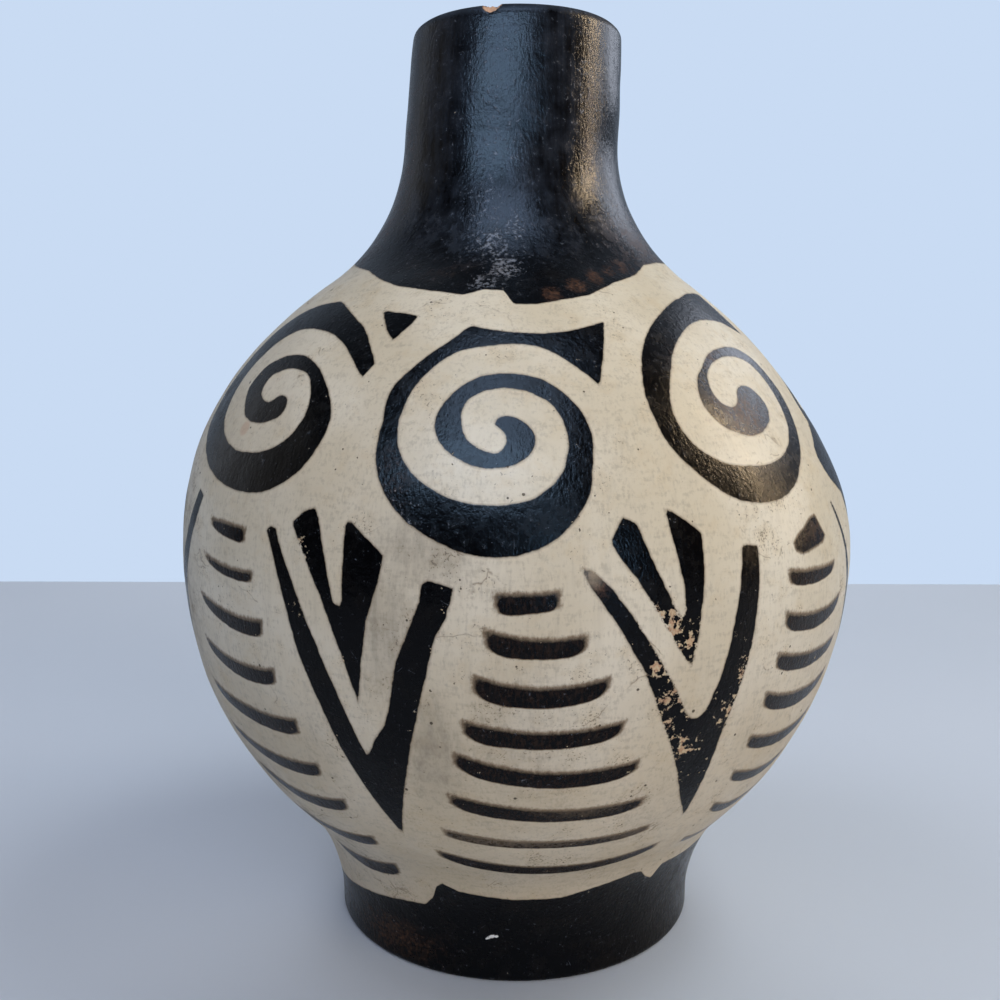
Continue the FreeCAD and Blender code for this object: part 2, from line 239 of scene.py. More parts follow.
def memberSections():
    fine, coarse = vase["fineStep"], vase["coarseStep"]
    bowlIn, courseIn = vase["bowlArc"] - vase["wall"], vase["courseArc"] - vase["wall"]
    shoulderIn, flareIn = vase["shoulderArc"] - vase["wall"], vase["flareArc"] + vase["wall"]
    seat = vase["bowlArc"] - vase["seatDepth"]
    ringIn = vase["footRadius"] - vase["footRingWidth"]
    edge = vase["footEdge"]
    seatLow = turnAt(bowlCentre, seat, ringIn)
    made = {}

    seatTop = polar(bowlCentre, seat, -footTurn)
    seamOut = polar(bowlCentre, vase["bowlArc"], -footTurn)
    made["foot_ring"] = section(
        (linePoints((ringIn + edge, 0), (vase["footRadius"] - edge, 0), coarse), 0),
        (arcPoints((vase["footRadius"] - edge, edge), edge, -90, 0, fine / 2), 1),
        (linePoints((vase["footRadius"], edge), (vase["footRadius"], footCentre[1]), fine), 1),
        (arcPoints(footCentre, vase["footFlare"], 180, 180 - footTurn, fine), 1),
        between(seamOut, seatTop),
        (arcPoints(bowlCentre, seat, -footTurn, seatLow, coarse), 0),
        (linePoints(polar(bowlCentre, seat, seatLow), (ringIn, edge), coarse), 0),
        (arcPoints((ringIn + edge, edge), edge, 180, 270, fine / 2), 0),
    )

    lap = polar(courseCentre, courseIn, lapTurn(courseIn))
    underLow = turnAt(bowlCentre, vase["bowlArc"], vase["floorRadius"])
    underHigh = turnAt(bowlCentre, vase["bowlArc"], ringIn)
    inLow = turnAt(bowlCentre, bowlIn, vase["floorRadius"])
    underFloor = polar(bowlCentre, vase["bowlArc"], underLow)
    inFloor = polar(bowlCentre, bowlIn, inLow)
    made["bowl"] = section(
        (linePoints((0, underFloor[1]), underFloor, coarse), 0),
        (arcPoints(bowlCentre, vase["bowlArc"], underLow, underHigh, coarse), 0),
        between(polar(bowlCentre, vase["bowlArc"], underHigh), polar(bowlCentre, seat, seatLow)),
        (arcPoints(bowlCentre, seat, seatLow, -footTurn, coarse), 0),
        between(seatTop, seamOut),
        (arcPoints(bowlCentre, vase["bowlArc"], -footTurn, 0, fine), 1),
        between((vase["bellyRadius"], bellyZ), lap),
        (arcPoints(courseCentre, courseIn, lapTurn(courseIn), 0, coarse), 0),
        (arcPoints(bowlCentre, bowlIn, 0, inLow, coarse), 0),
        (linePoints(inFloor, (0, inFloor[1]), coarse), 0),
    )

    nextLap = polar(shoulderCentre, shoulderIn, courseTurn + lapTurn(shoulderIn))
    made["belly_course"] = section(
        (arcPoints(courseCentre, vase["courseArc"], 0, courseTurn, fine), 1),
        between(polar(courseCentre, vase["courseArc"], courseTurn), nextLap),
        (arcPoints(shoulderCentre, shoulderIn, courseTurn + lapTurn(shoulderIn), courseTurn, coarse), 0),
        (arcPoints(courseCentre, courseIn, courseTurn, lapTurn(courseIn), coarse), 0),
        between(lap, (vase["bellyRadius"], bellyZ)),
    )

    lap = nextLap
    nextLap = polar(flareCentre, flareIn, 180 + neckTurn - lapTurn(flareIn))
    made["shoulder_course"] = section(
        (arcPoints(shoulderCentre, vase["shoulderArc"], courseTurn, neckTurn, fine), 1),
        between(polar(shoulderCentre, vase["shoulderArc"], neckTurn), nextLap),
        (arcPoints(flareCentre, flareIn, 180 + neckTurn - lapTurn(flareIn), 180 + neckTurn, coarse), 0),
        (arcPoints(shoulderCentre, shoulderIn, neckTurn, courseTurn + lapTurn(shoulderIn), coarse), 0),
        between(lap, polar(shoulderCentre, vase["shoulderArc"], courseTurn)),
    )

    lap = nextLap
    lipOut = polar(neckCentre, vase["neckArc"], lipSeamTurn)
    lipIn = (boreRadius, topZ - vase["lipHeight"])
    made["neck"] = section(
        (arcPoints(flareCentre, vase["flareArc"], 180 + neckTurn, 180, fine), 1),
        (arcPoints(neckCentre, vase["neckArc"], 0, lipSeamTurn, fine), 1),
        between(lipOut, lipIn),
        (linePoints(lipIn, (boreRadius, throatZ), coarse / 2), 0),
        (arcPoints(flareCentre, flareIn, 180, 180 + neckTurn - lapTurn(flareIn), coarse / 2), 0),
        between(lap, polar(flareCentre, vase["flareArc"], 180 + neckTurn)),
    )

    made["lip"] = section(
        (arcPoints(neckCentre, vase["neckArc"], lipSeamTurn, crestTurn, fine / 2), 1),
        (arcPoints(crestCentre, crestRound, crestTurn, 180, fine / 2), 1),
        (linePoints((boreRadius, crestCentre[1]), lipIn, fine), 1),
        between(lipIn, lipOut),
    )

    joints = {
        "belly_seam_coil": (bowlCentre, bowlIn, 0, -1, courseCentre, courseIn, 0, 1),
        "shoulder_seam_coil": (
            courseCentre, courseIn, courseTurn, -1, shoulderCentre, shoulderIn, courseTurn, 1),
        "neck_seam_coil": (
            shoulderCentre, shoulderIn, neckTurn, -1, flareCentre, flareIn, 180 + neckTurn, -1),
    }
    for name, (below, belowR, belowTurn, belowWay, above, aboveR, aboveTurn, aboveWay) in joints.items():
        down = math.degrees(vase["coilReach"] / belowR) * belowWay
        up = math.degrees((vase["coilReach"] + vase["seamLap"]) / aboveR) * aboveWay
        back = arcPoints(below, belowR, belowTurn + down, belowTurn, 1.0)
        back += arcPoints(above, aboveR, aboveTurn, aboveTurn + up, 1.0)[1:]
        back = np.array(back)
        share = np.linspace(-1, 1, len(back))
        run = np.gradient(back, axis=0)
        run /= np.hypot(*run.T)[:, None]
        front = back + np.stack([-run[:, 1], run[:, 0]], 1) * (vase["coilBulge"] * (1 - share**2))[:, None]
        made[name] = section((back.tolist(), 0), (front[::-1].tolist()[1:-1], 0))
    for name, (points, kinds) in made.items():
        if name != "bowl":  # the bowl's outline ends on the axis instead
            points.append(points[0])
            kinds.append(kinds[0])
    return made


# The tree that turns an outline into hand-built clay

clay = {
    "lumps": 0.55,  # radial unevenness of the wall, in millimetres
    "lumpSize": 46.0,
    "ripple": 0.10,
    "rippleSize": 11.0,
    "calmBase": 14.0,  # height over which the foot goes over into the uneven wall
    "calmAxis": 22.0,  # the same from the axis outwards
    "seed": 4.0,
    # How far the axis leans to the right at each height
    "lean": [(0, 0), (30, 0), (60, 0.05), (85, 0.3), (103, -0.4), (120, -1.6), (136, -2.05), (155, -1.45),
             (172, -1.3), (190, -0.1), (205, 0.6)],
    "leanRange": 3.0,
    "chipTurn": -14.5,  # where the lip has lost a flake of clay
    "chipReach": 2.3,
    "chipDepth": 0.8,
    "chipCrestTurn": 62,  # where on the round crest it sits, from the outer side
    "chipGrain": 900.0,  # noise cells in a metre of its broken edge
    "chipFray": 0.9,
    "chipInward": 0.8,
    "chipDown": 0.7,
}

chipRim = polar(crestCentre, crestRound, clay["chipCrestTurn"])
chipAngle = math.radians(clay["chipTurn"])
chipPlace = np.array([math.sin(chipAngle) * chipRim[0], -math.cos(chipAngle) * chipRim[0], chipRim[1]]) * mm


def clayTree(painted, bare):
    tree = bpy.data.node_groups.new("turned clay", "GeometryNodeTree")
    face = tree.interface
    face.new_socket("Geometry", in_out="INPUT", socket_type="NodeSocketGeometry")
    inputs = {
        "Steps": ("NodeSocketInt", vase["turnSteps"]),
        "Lumps": ("NodeSocketFloat", clay["lumps"] * mm),
        "Lump Size": ("NodeSocketFloat", clay["lumpSize"] * mm),
        "Ripple": ("NodeSocketFloat", clay["ripple"] * mm),
        "Ripple Size": ("NodeSocketFloat", clay["rippleSize"] * mm),
        "Height": ("NodeSocketFloat", topZ * mm),
        "Chip Place": ("NodeSocketVector", (0.0, 0.0, -1.0)),
        "Chip Reach": ("NodeSocketFloat", clay["chipReach"] * mm),
        "Chip Depth": ("NodeSocketFloat", clay["chipDepth"] * mm),
        "Seed": ("NodeSocketFloat", clay["seed"]),
    }
    for name, (kind, value) in inputs.items():
        face.new_socket(name, in_out="INPUT", socket_type=kind).default_value = value
    face.new_socket("Geometry", in_out="OUTPUT", socket_type="NodeSocketGeometry")
    make = Maker(tree)
    source = tree.nodes.new("NodeGroupInput")
    given = {name: Wire(make, source.outputs[name]) for name in ["Geometry", *inputs]}

    rows = make.add("GeometryNodeAttributeDomainSize", None, {"Geometry": given["Geometry"]})
    sheet = make.add("GeometryNodeMeshGrid", None, {
        "Size X": 1.0, "Size Y": 1.0, "Vertices X": given["Steps"] + 1, "Vertices Y": rows})
    grid = sheet.socket.node
    flat = make.add("GeometryNodeInputPosition")
    split = make.add("ShaderNodeSeparateXYZ", None, {0: flat}).socket.node
    column, line = Wire(make, split.outputs[0]), Wire(make, split.outputs[1])
    row = ((line + 0.5) * (rows - 1)).sum("ROUND")
    outline = make.add("GeometryNodeSampleIndex", {"data_type": "FLOAT_VECTOR"},
                       {"Geometry": given["Geometry"], "Value": flat, "Index": row})
    kindField = make.add("GeometryNodeInputNamedAttribute", {"data_type": "FLOAT"}, {"Name": "kind"})
    kind = make.add("GeometryNodeSampleIndex", {"data_type": "FLOAT"},
                    {"Geometry": given["Geometry"], "Value": kindField, "Index": row})
    spot = make.add("ShaderNodeSeparateXYZ", None, {0: outline}).socket.node
    radius, height = Wire(make, spot.outputs[0]), Wire(make, spot.outputs[2])

    turn = column * (2 * math.pi)
    outX, outY = turn.sum("SINE"), turn.sum("COSINE") * -1
    outward = make.add("ShaderNodeCombineXYZ", None, {0: outX, 1: outY, 2: 0.0})
    rest = make.add("ShaderNodeCombineXYZ", None, {0: radius * outX, 1: radius * outY, 2: height})

    seeded = make.vector("ADD", rest, make.add("ShaderNodeCombineXYZ", None, {0: given["Seed"]}))
    lumps = make.noise(seeded, given["Lump Size"], 1.0)
    ripple = make.noise(seeded, given["Ripple Size"], 1.0)
    swing = 4  # noise strays about a quarter from its middle
    uneven = (lumps - 0.5) * swing * given["Lumps"] + (ripple - 0.5) * swing * given["Ripple"]
    uneven = uneven * height.rise(0.0, clay["calmBase"] * mm) * radius.rise(0.0, clay["calmAxis"] * mm)

    leanRange = clay["leanRange"]
    leanCurve = [(z / topZ, 0.5 + lean / leanRange / 2) for z, lean in clay["lean"]]
    leanCurve = [leanCurve[0], leanCurve[-1], *leanCurve[1:-1]]
    share = make.add("ShaderNodeFloatCurve", {"curve": leanCurve}, {1: height / given["Height"]})
    lean = make.add("ShaderNodeCombineXYZ", None, {0: (share - 0.5) * (2 * leanRange * mm)})

    # The chip: near its middle the clay is pushed in and down, with a broken edge
    away = make.vector("DISTANCE", rest, given["Chip Place"], 1)
    broken = make.add("ShaderNodeTexNoise", None, {
        "Vector": rest, "Scale": clay["chipGrain"], "Detail": 2.0})
    ragged = away / given["Chip Reach"] + (broken - 0.5) * clay["chipFray"]
    depth = ragged.rise(0.55, 1.0, 1.0, 0.0) * given["Chip Depth"]
    chip = make.add("ShaderNodeCombineXYZ", None, {
        0: outX * depth * -clay["chipInward"],
        1: outY * depth * -clay["chipInward"],
        2: depth * -clay["chipDown"],
    })

    move = make.add("ShaderNodeVectorMath", {"operation": "SCALE"}, {0: outward, 3: uneven})
    moved = make.vector("ADD", make.vector("ADD", rest, move), make.vector("ADD", lean, chip))

    body = make.add("GeometryNodeStoreNamedAttribute", {"data_type": "FLOAT2", "domain": "CORNER"},
                    {"Geometry": sheet, "Name": "OFBake", "Value": Wire(make, grid.outputs["UV Map"])})
    body = make.add("GeometryNodeStoreNamedAttribute", {"data_type": "FLOAT"},
                    {"Geometry": body, "Name": "kind", "Value": kind})
    body = make.add("GeometryNodeStoreNamedAttribute", {"data_type": "FLOAT_VECTOR"},
                    {"Geometry": body, "Name": "rest", "Value": rest})
    body = make.add("GeometryNodeSetPosition", None, {"Geometry": body, "Position": moved})
    body = make.add("GeometryNodeMergeByDistance", None, {"Geometry": body, "Distance": 0.001 * mm})
    body = make.add("GeometryNodeSetShadeSmooth", None, {"Geometry": body})
    body = make.add("GeometryNodeRealizeInstances", None, {"Geometry": body})
    body = make.add("GeometryNodeSetMaterial", None, {"Geometry": body, "Material": bare})
    stored = make.add("GeometryNodeInputNamedAttribute", {"data_type": "FLOAT"}, {"Name": "kind"})
    skin = make.add("FunctionNodeCompare", {"data_type": "FLOAT", "operation": "GREATER_THAN"},
                    {0: stored, 1: 0.9})
    body = make.add("GeometryNodeSetMaterial", None,
                    {"Geometry": body, "Selection": skin, "Material": painted})
    make.add("NodeGroupOutput", None, {"Geometry": body})
    return tree


def turnPiece(name, shape, tree, **values):
    points, kinds = shape
    outline = bpy.data.meshes.new(name + "Outline")
    spots = [(r * mm, 0, z * mm) for r, z in points]
    outline.from_pydata(spots, [(i, i + 1) for i in range(len(points) - 1)], [])
    outline.attributes.new("kind", "FLOAT", "POINT").data.foreach_set("value", kinds)
    holder = bpy.data.objects.new(name + "Outline", outline)
    bpy.context.scene.collection.objects.link(holder)
    modifier = holder.modifiers.new("turned clay", "NODES")
    modifier.node_group = tree
    for socket in tree.interface.items_tree:
        if socket.in_out == "INPUT" and socket.name.replace(" ", "") in values:
            modifier[socket.identifier] = values[socket.name.replace(" ", "")]
    depsgraph = bpy.context.evaluated_depsgraph_get()
    mesh = bpy.data.meshes.new_from_object(
        holder.evaluated_get(depsgraph), preserve_all_data_layers=True, depsgraph=depsgraph)
    holder.modifiers.remove(modifier)
    bpy.data.objects.remove(holder)
    bpy.data.meshes.remove(outline)
    mesh.name = name
    mesh.materials.pop(index=0)  # the grid's own empty slot
    piece = bpy.data.objects.new(name, mesh)
    bpy.context.scene.collection.objects.link(piece)
    return piece


# The painted pattern. Places are turn in degrees and height in millimetres, and turn 0 faces the front.

# A spiral's band: its inner edge from the tail to the head, its outer edge from the head to the tail,
# and the tail
spiralShapes = {
    "left": {
        "centre": -46.5,
        "inner": [
            (-26.7, 130), (-30, 132.9), (-34.5, 135.8), (-40, 137.6), (-46.7, 138.4), (-52, 137.9),
            (-57.4, 135.4), (-60.5, 130.9), (-60.8, 126.3), (-58.7, 121.1), (-54.7, 117.4), (-49.4, 115.1),
            (-43.8, 114.8), (-39.3, 115.9), (-36, 118.6), (-34.5, 122.2), (-35, 125.9), (-37.3, 129),
            (-40, 130.2), (-44.1, 130.5), (-48.1, 129.2), (-48.8, 126.9), (-47.6, 125.1), (-44.9, 124.1),
            (-42.4, 125.5),
        ],
        "outer": [
            (-40, 124.8), (-39.7, 122.6), (-41.3, 121.2), (-45.4, 120.2), (-50.1, 121.3), (-53.7, 125.5),
            (-54.1, 128), (-52.4, 131.1), (-47.4, 133), (-41.4, 132.9), (-36.1, 130.7), (-31.8, 126.9),
            (-29.3, 122.6), (-29.5, 118), (-31.8, 113.2), (-35.5, 109.8), (-40.1, 107.8), (-46.1, 107.6),
            (-52.4, 109), (-57.7, 111.4), (-62.3, 114.9), (-66.6, 119), (-68.8, 125.1), (-68.6, 131.3),
            (-66, 137.3), (-61, 141.3), (-54.4, 143.1), (-47.4, 143.8), (-44.6, 143.7), (-40.1, 142.4),
            (-34.5, 140.1), (-30, 137.8), (-25.5, 133.4),
        ],
        "tail": [(-24.2, 131.8), (-25.6, 129.3)],
    },
    "middle": {
        "centre": -3.9,
        "inner": [
            (13.7, 129.6), (10, 132.7), (6.1, 134.7), (1.9, 135.3), (-2.9, 135), (-7.9, 134.2),
            (-11.6, 132.3),
            (-15.1, 128.4), (-16.7, 123.9), (-17, 119.3), (-15.6, 115.1), (-12.4, 111.2), (-7.9, 108.6),
            (-2.6, 107.9), (2.2, 108.9), (6.1, 112.1), (7.9, 115.8), (8.4, 120.4), (6.7, 124.6), (3.3, 126.8),
            (-0.3, 127.5), (-4, 126.9), (-6.5, 125.2), (-7.3, 122.5), (-6.4, 118.9), (-4, 117), (-1.9, 116.6),
            (-0.6, 118.1), (-0.9, 120),
        ],
        "outer": [
            (-2.3, 121.4), (-1.5, 122.5), (0.5, 122.7), (2.7, 121.2), (3.7, 118.9), (2.5, 116.1), (0, 114.5),
            (-2.6, 114), (-5.4, 114.4), (-8.5, 116.1), (-10.7, 118.8), (-11.3, 121.1), (-10.7, 123.9),
            (-8.5, 127), (-5.1, 129.3), (-1.2, 130), (2.7, 129.8), (6.1, 128.8), (9.2, 126.3), (11.2, 123.2),
            (12.1, 119.3), (11.4, 114.4), (10, 108.9), (6.7, 104), (3.3, 101), (0, 99.6), (-4, 99.3),
            (-7.9, 100.2), (-12.4, 102.8), (-16.3, 106.5), (-18.9, 111.2), (-20, 116.5), (-19.8, 121.4),
            (-19.6, 126.7), (-17.4, 130.2), (-13.8, 133.7), (-10, 136.5), (-7.3, 138.5), (-3.4, 138),
            (2.2, 137.4), (8.6, 137.3), (13.4, 137.9),
        ],
        "tail": [(20.1, 139.4), (17.3, 133), (15.2, 127.9)],
    },
    "right": {
        "centre": 41.7,
        "inner": [
            (60, 139.7), (56.5, 140.1), (50, 140.2), (43.3, 139), (37.3, 136.7), (32.7, 133.6), (30, 130.5),
            (27.2, 125.5), (26.8, 121.7), (28, 118), (30, 115.7), (32.7, 113.9), (36, 113.1), (42.6, 112.9),
            (48.9, 114.9), (54.2, 119.7), (56.8, 125.9), (55.4, 131.1), (50, 132.9), (43.3, 132.1),
            (38.6, 129.8), (37.1, 126.7), (37.6, 124.6), (39, 123.6), (40.6, 123.5), (42.3, 124.4),
            (43.9, 126.3), (46.6, 127.3),
        ],
        "outer": [
            (49.2, 126.3), (50.3, 123.8), (49.2, 121.3), (46.6, 119.5), (42.6, 118.2), (39, 118.6),
            (35.3, 120.5), (33.5, 124.2), (34.6, 128), (38, 130.9), (43.3, 133.6), (49.9, 134.7),
            (55.2, 134.1), (59.2, 131.3), (60.5, 126.3), (58.5, 120.9), (54.9, 115.9), (50.9, 111.6),
            (46.6, 108.3), (41.9, 106.5), (37.3, 106.4), (33.3, 107.3), (30, 109.7), (26.4, 113.7),
            (23.7, 118.6), (22.8, 124.2), (23.2, 128), (25.4, 133.4), (30, 137.9), (36, 141), (43.3, 143.4),
            (50, 144.8), (56.5, 145.8), (63.2, 146.1),
        ],
        "tail": [(67.5, 146.0), (67.0, 137.3), (63.2, 138.7)],
    },
}

# A fork: its V, and the notched leaf inside the V
forkShapes = {
    "left": {
        "centre": -22.0,
        "vee": [
            (-36.8, 101.4), (-36, 102.2), (-35, 101.8), (-34.3, 99.3), (-31.6, 92), (-28.5, 82.8),
            (-25.6, 73.3),
            (-23, 63.7), (-22, 60.4), (-20, 64.9), (-18.5, 67.6), (-17.5, 71.2), (-16.8, 75.8), (-16, 80.3),
            (-14.8, 84.1), (-12.6, 91), (-12.2, 94.3), (-11.3, 95), (-8, 93.9), (-9, 88.7),
            (-10.5, 85.3), (-12.5, 75.3), (-14.3, 66.6), (-16.3, 57.4), (-20.6, 41.4), (-25.3, 56.6),
            (-28.8, 70.3), (-31.5, 79.5), (-33.3, 88.7), (-35.6, 97.4),
        ],
        "leaf": [
            (-32, 103.2), (-30.2, 105.4), (-28.2, 106.2), (-27.4, 104.2), (-26.3, 97.4), (-25, 89.9),
            (-24.1, 89.1), (-23.6, 90), (-23.6, 94.9), (-23.1, 103.7), (-22.6, 104.6), (-20, 101.8),
            (-17.4, 98.9), (-18, 95.3), (-20, 87.4), (-21.3, 78.3), (-22, 71.2), (-24, 79.9), (-26.6, 89.5),
            (-30, 98.3),
        ],
    },
    "wide": {
        "centre": -74.0,
        "vee": [
            (-56.3, 105.2), (-58.3, 106.2), (-60.4, 102), (-62.6, 97.8), (-65.4, 93.2), (-68, 87.5),
            (-70.4, 80.5),
            (-72.6, 72.5), (-74.4, 66.5), (-76.6, 71.5), (-79, 80), (-81.4, 88.5), (-83.6, 97),
            (-84.8, 102.4),
            (-87.8, 103.6), (-87, 96), (-84.6, 84), (-81.6, 71), (-78.4, 58), (-75, 43), (-71.4, 57),
            (-68.8, 68),
            (-66.6, 77.5), (-64.8, 84.5), (-62.9, 90), (-60.9, 94.5), (-59.2, 98), (-57.6, 101.5),
        ],
        "leaf": [
            (-79.4, 103), (-77.6, 106), (-75.8, 101.5), (-74.8, 95.5), (-74, 94), (-73.2, 96), (-72.4, 102.5),
            (-71, 105.4), (-69.2, 102), (-70.2, 96), (-72.4, 87.5), (-74.2, 77.5), (-76, 86), (-78.4, 96.5),
        ],
    },
    "narrow": {
        "centre": 76.0,
        "vee": [
            (58.6, 103.8), (59.6, 103.6), (62.3, 98.8), (65.6, 93.4), (69.2, 86.5), (71.8, 79.5),
            (74.2, 71.5),
            (76, 66.5), (78, 70.5), (80.2, 78.5), (82, 85), (83.2, 89.6), (85.8, 90.6), (85.2, 84),
            (82.8, 73.5),
            (79.8, 60), (76.6, 45), (73.2, 58.5), (70.4, 70), (68.2, 79), (66.6, 86), (64.7, 92.2),
            (61.6, 98),
        ],
    },
    "right": {
        "centre": 24.0,
        "vee": [
            (8.4, 97.6), (10.2, 96.6), (12.6, 93.4), (15.9, 87.4), (19.2, 80.3), (22.6, 73.3),
            (24.1, 69.9), (25.3, 68.2),
            (26.6, 67.8), (27.6, 68.9), (28.9, 74.1), (30.2, 82.4), (31.9, 93.7), (32.6, 98.7), (33.2, 99.4),
            (35.6, 98.9), (35.4, 93.7), (34.4, 82.4), (32.7, 68.7), (31.9, 62.4), (31.5, 43.9), (28.1, 50.1),
            (24.4, 59.5), (20.4, 69.1), (17.1, 78.3), (13.1, 87.4), (10, 93.3),
        ],
        "leaf": [
            (12.9, 101.6), (14.9, 105.6), (16.7, 104.5), (18.7, 97), (21.2, 89.5), (22, 87.9), (22.7, 88.6),
            (22.7, 92.8), (21.7, 101.2), (21.2, 106.8), (23.7, 104.9), (26.2, 102.2), (25.7, 94.1),
            (24.9, 84.5), (24, 78.3), (22, 81.8), (19, 88.3), (15.6, 95.8), (14, 98.7),
        ],
    },
}

# A ladder's stripes, from the top: left end, right end, height at left, middle and right, thickness.
# Taper is how thick the left and right ends are against that, and curl how far the lower edge curls up there.
ladderShapes = {
    "left": {
        "centre": -46.8,
        "taper": (0.6, 1.1),
        "curl": (0.6, 0.3),
        "stripes": [
            (-51.8, -41.8, 100.5, 99.9, 99.5, 2.7), (-53.7, -40.0, 93.4, 91.9, 92.0, 1.8),
            (-56.0, -38.4, 84.7, 82.2, 82.3, 3.0), (-57.4, -37.0, 74.9, 72.3, 73.1, 3.0),
            (-59.4, -34.4, 64.8, 62.6, 63.3, 3.3), (-58.8, -32.8, 55.4, 52.9, 54.2, 3.0),
            (-56.0, -30.3, 47.0, 44.5, 46.4, 3.1), (-54.0, -28.6, 37.2, 35.1, 36.6, 3.4),
            (-53.0, -29.5, 25.4, 24.6, 26.6, 4.0),
        ],
    },
    "middle": {
        "centre": 3.0,
        "taper": (1.15, 0.92),
        "curl": (0.5, 0.4),
        "stripes": [
            (-2.8, 5.2, 91.2, 91.3, 91.8, 3.3), (-4.2, 8.6, 84.7, 83.3, 84.0, 3.5),
            (-5.8, 11.8, 76.2, 74.3, 76.0, 3.7), (-7.3, 14.5, 67.8, 65.9, 67.5, 3.4),
            (-8.8, 17.8, 61.0, 57.5, 58.9, 3.6), (-10.2, 20.5, 51.8, 48.9, 49.9, 3.3),
            (-12.3, 24.0, 42.9, 40.5, 42.3, 2.3), (-14.9, 29.4, 35.6, 31.8, 34.8, 3.5),
        ],
    },
    "right": {
        "centre": 49.0,
        "taper": (1.05, 0.65),
        "curl": (0.3, 0.6),
        "cap": [
            (43.4, 98.1), (44.6, 99.3), (46.5, 100.3), (48.6, 101.9), (50.6, 102.4), (52.2, 99.6), (53.2, 98),
            (52.0, 97.0), (48.4, 96.3), (45.6, 95.9), (43.8, 96.8),
        ],
        "stripes": [
            (41.8, 56.0, 91.9, 90.9, 91.2, 2.7),
            (41.3, 60.0, 83.6, 81.8, 83.6, 3.2), (40.6, 62.0, 75.7, 73.4, 74.4, 3.1),
            (40.0, 62.5, 67.9, 65.2, 66.8, 3.2), (39.2, 62.0, 59.2, 56.8, 58.4, 2.8),
            (39.2, 58.0, 51.3, 48.9, 50.0, 2.6), (39.2, 57.0, 43.2, 40.5, 41.9, 2.6),
            (39.5, 56.0, 33.2, 31.9, 32.6, 2.2),
        ],
    },
}
smallTriangle = {
    "centre": -23,
    "outline": [
        (-28.2, 141.7), (-23, 141.2), (-18.7, 140.6), (-19.4, 139.2), (-22, 136), (-24.6, 138),
    ],
}
# The blunt tongue that the spiral on the right flank grows out of
tongue = {
    "centre": 70,
    "outline": [
        (60.7, 112.4), (61.4, 110), (63.6, 107.6), (67, 105.5), (71, 103.4), (76, 102), (76, 122),
        (72, 121), (68.7, 119), (64.8, 116.2), (62, 114.6),
    ],
}

# What goes where round the vase: shape, turned by, raised by, stretched round. A fork's leaf is raised by
# the last, and None leaves it out.
layout = {
    "spirals": [
        ("left", 0.45, 0, 1), ("middle", 0.6, 0, 1), ("right", 0.45, 0, 1), ("middle", 86.5, -5, 0.88),
        ("left", 173, 1, 1), ("right", 126.5, -1, 1), ("middle", 217, -1, 1), ("left", 308, 4, 0.97),
    ],
    "forks": [
        ("left", 0, 0, 1, 0), ("right", 0, 0, 1, 0), ("narrow", 0, 0, 1, None), ("right", 94, -2, 1, 0),
        ("left", 199, -5, 1.1, 0), ("right", 212, -5, 1.05, 0), ("wide", 0, 0, 1, 0),
    ],
    "ladders": [
        ("left", 0, 0, 1), ("middle", 0.3, 0, 1), ("right", 0, 0, 1), ("right", 48.3, -3, 0.93),
        ("left", 193.8, 0, 1.1), ("middle", 203, -2, 1), ("left", 307.8, -1, 0.97),
    ],
}

# Where the black coats of neck and foot end, and how far the neck's coat reaches into the mouth
neckCoat = [
    (-78, 153.5), (-50, 150.7), (-30, 146.8), (-10, 144.7), (-5, 145.8), (-0.5, 145.5), (2, 142.8),
    (7, 142.8),
    (20, 144.7), (30, 147.5), (40, 149.3), (50, 151.8), (62, 152.8), (78, 153.2), (105, 152.2), (128, 148.6),
    (150, 147.2), (172, 150.8), (195, 149.4), (216, 147.0), (238, 147.8), (262, 151.4),
]
footCoat = [
    (-72, 12), (-60, 13), (-38, 16), (-30, 17.1), (-25, 17.4), (-22, 19.9), (-20, 23.6), (-18, 24.9),
    (-14, 23),
    (0, 21.8), (12, 22), (20, 23.6), (31, 25.3), (34, 24.9), (37, 22.4), (40, 21.1), (42, 24.5), (52, 24.4),
    (74, 24.6), (86, 20.2), (104, 17.4), (118, 23.6), (140, 22.4), (160, 16.8), (186, 14.6), (204, 20.6),
    (226, 23.8), (244, 18.4), (264, 13.2),
]
mouthCoatZ = 187.0
standingCoatReach = 38.5

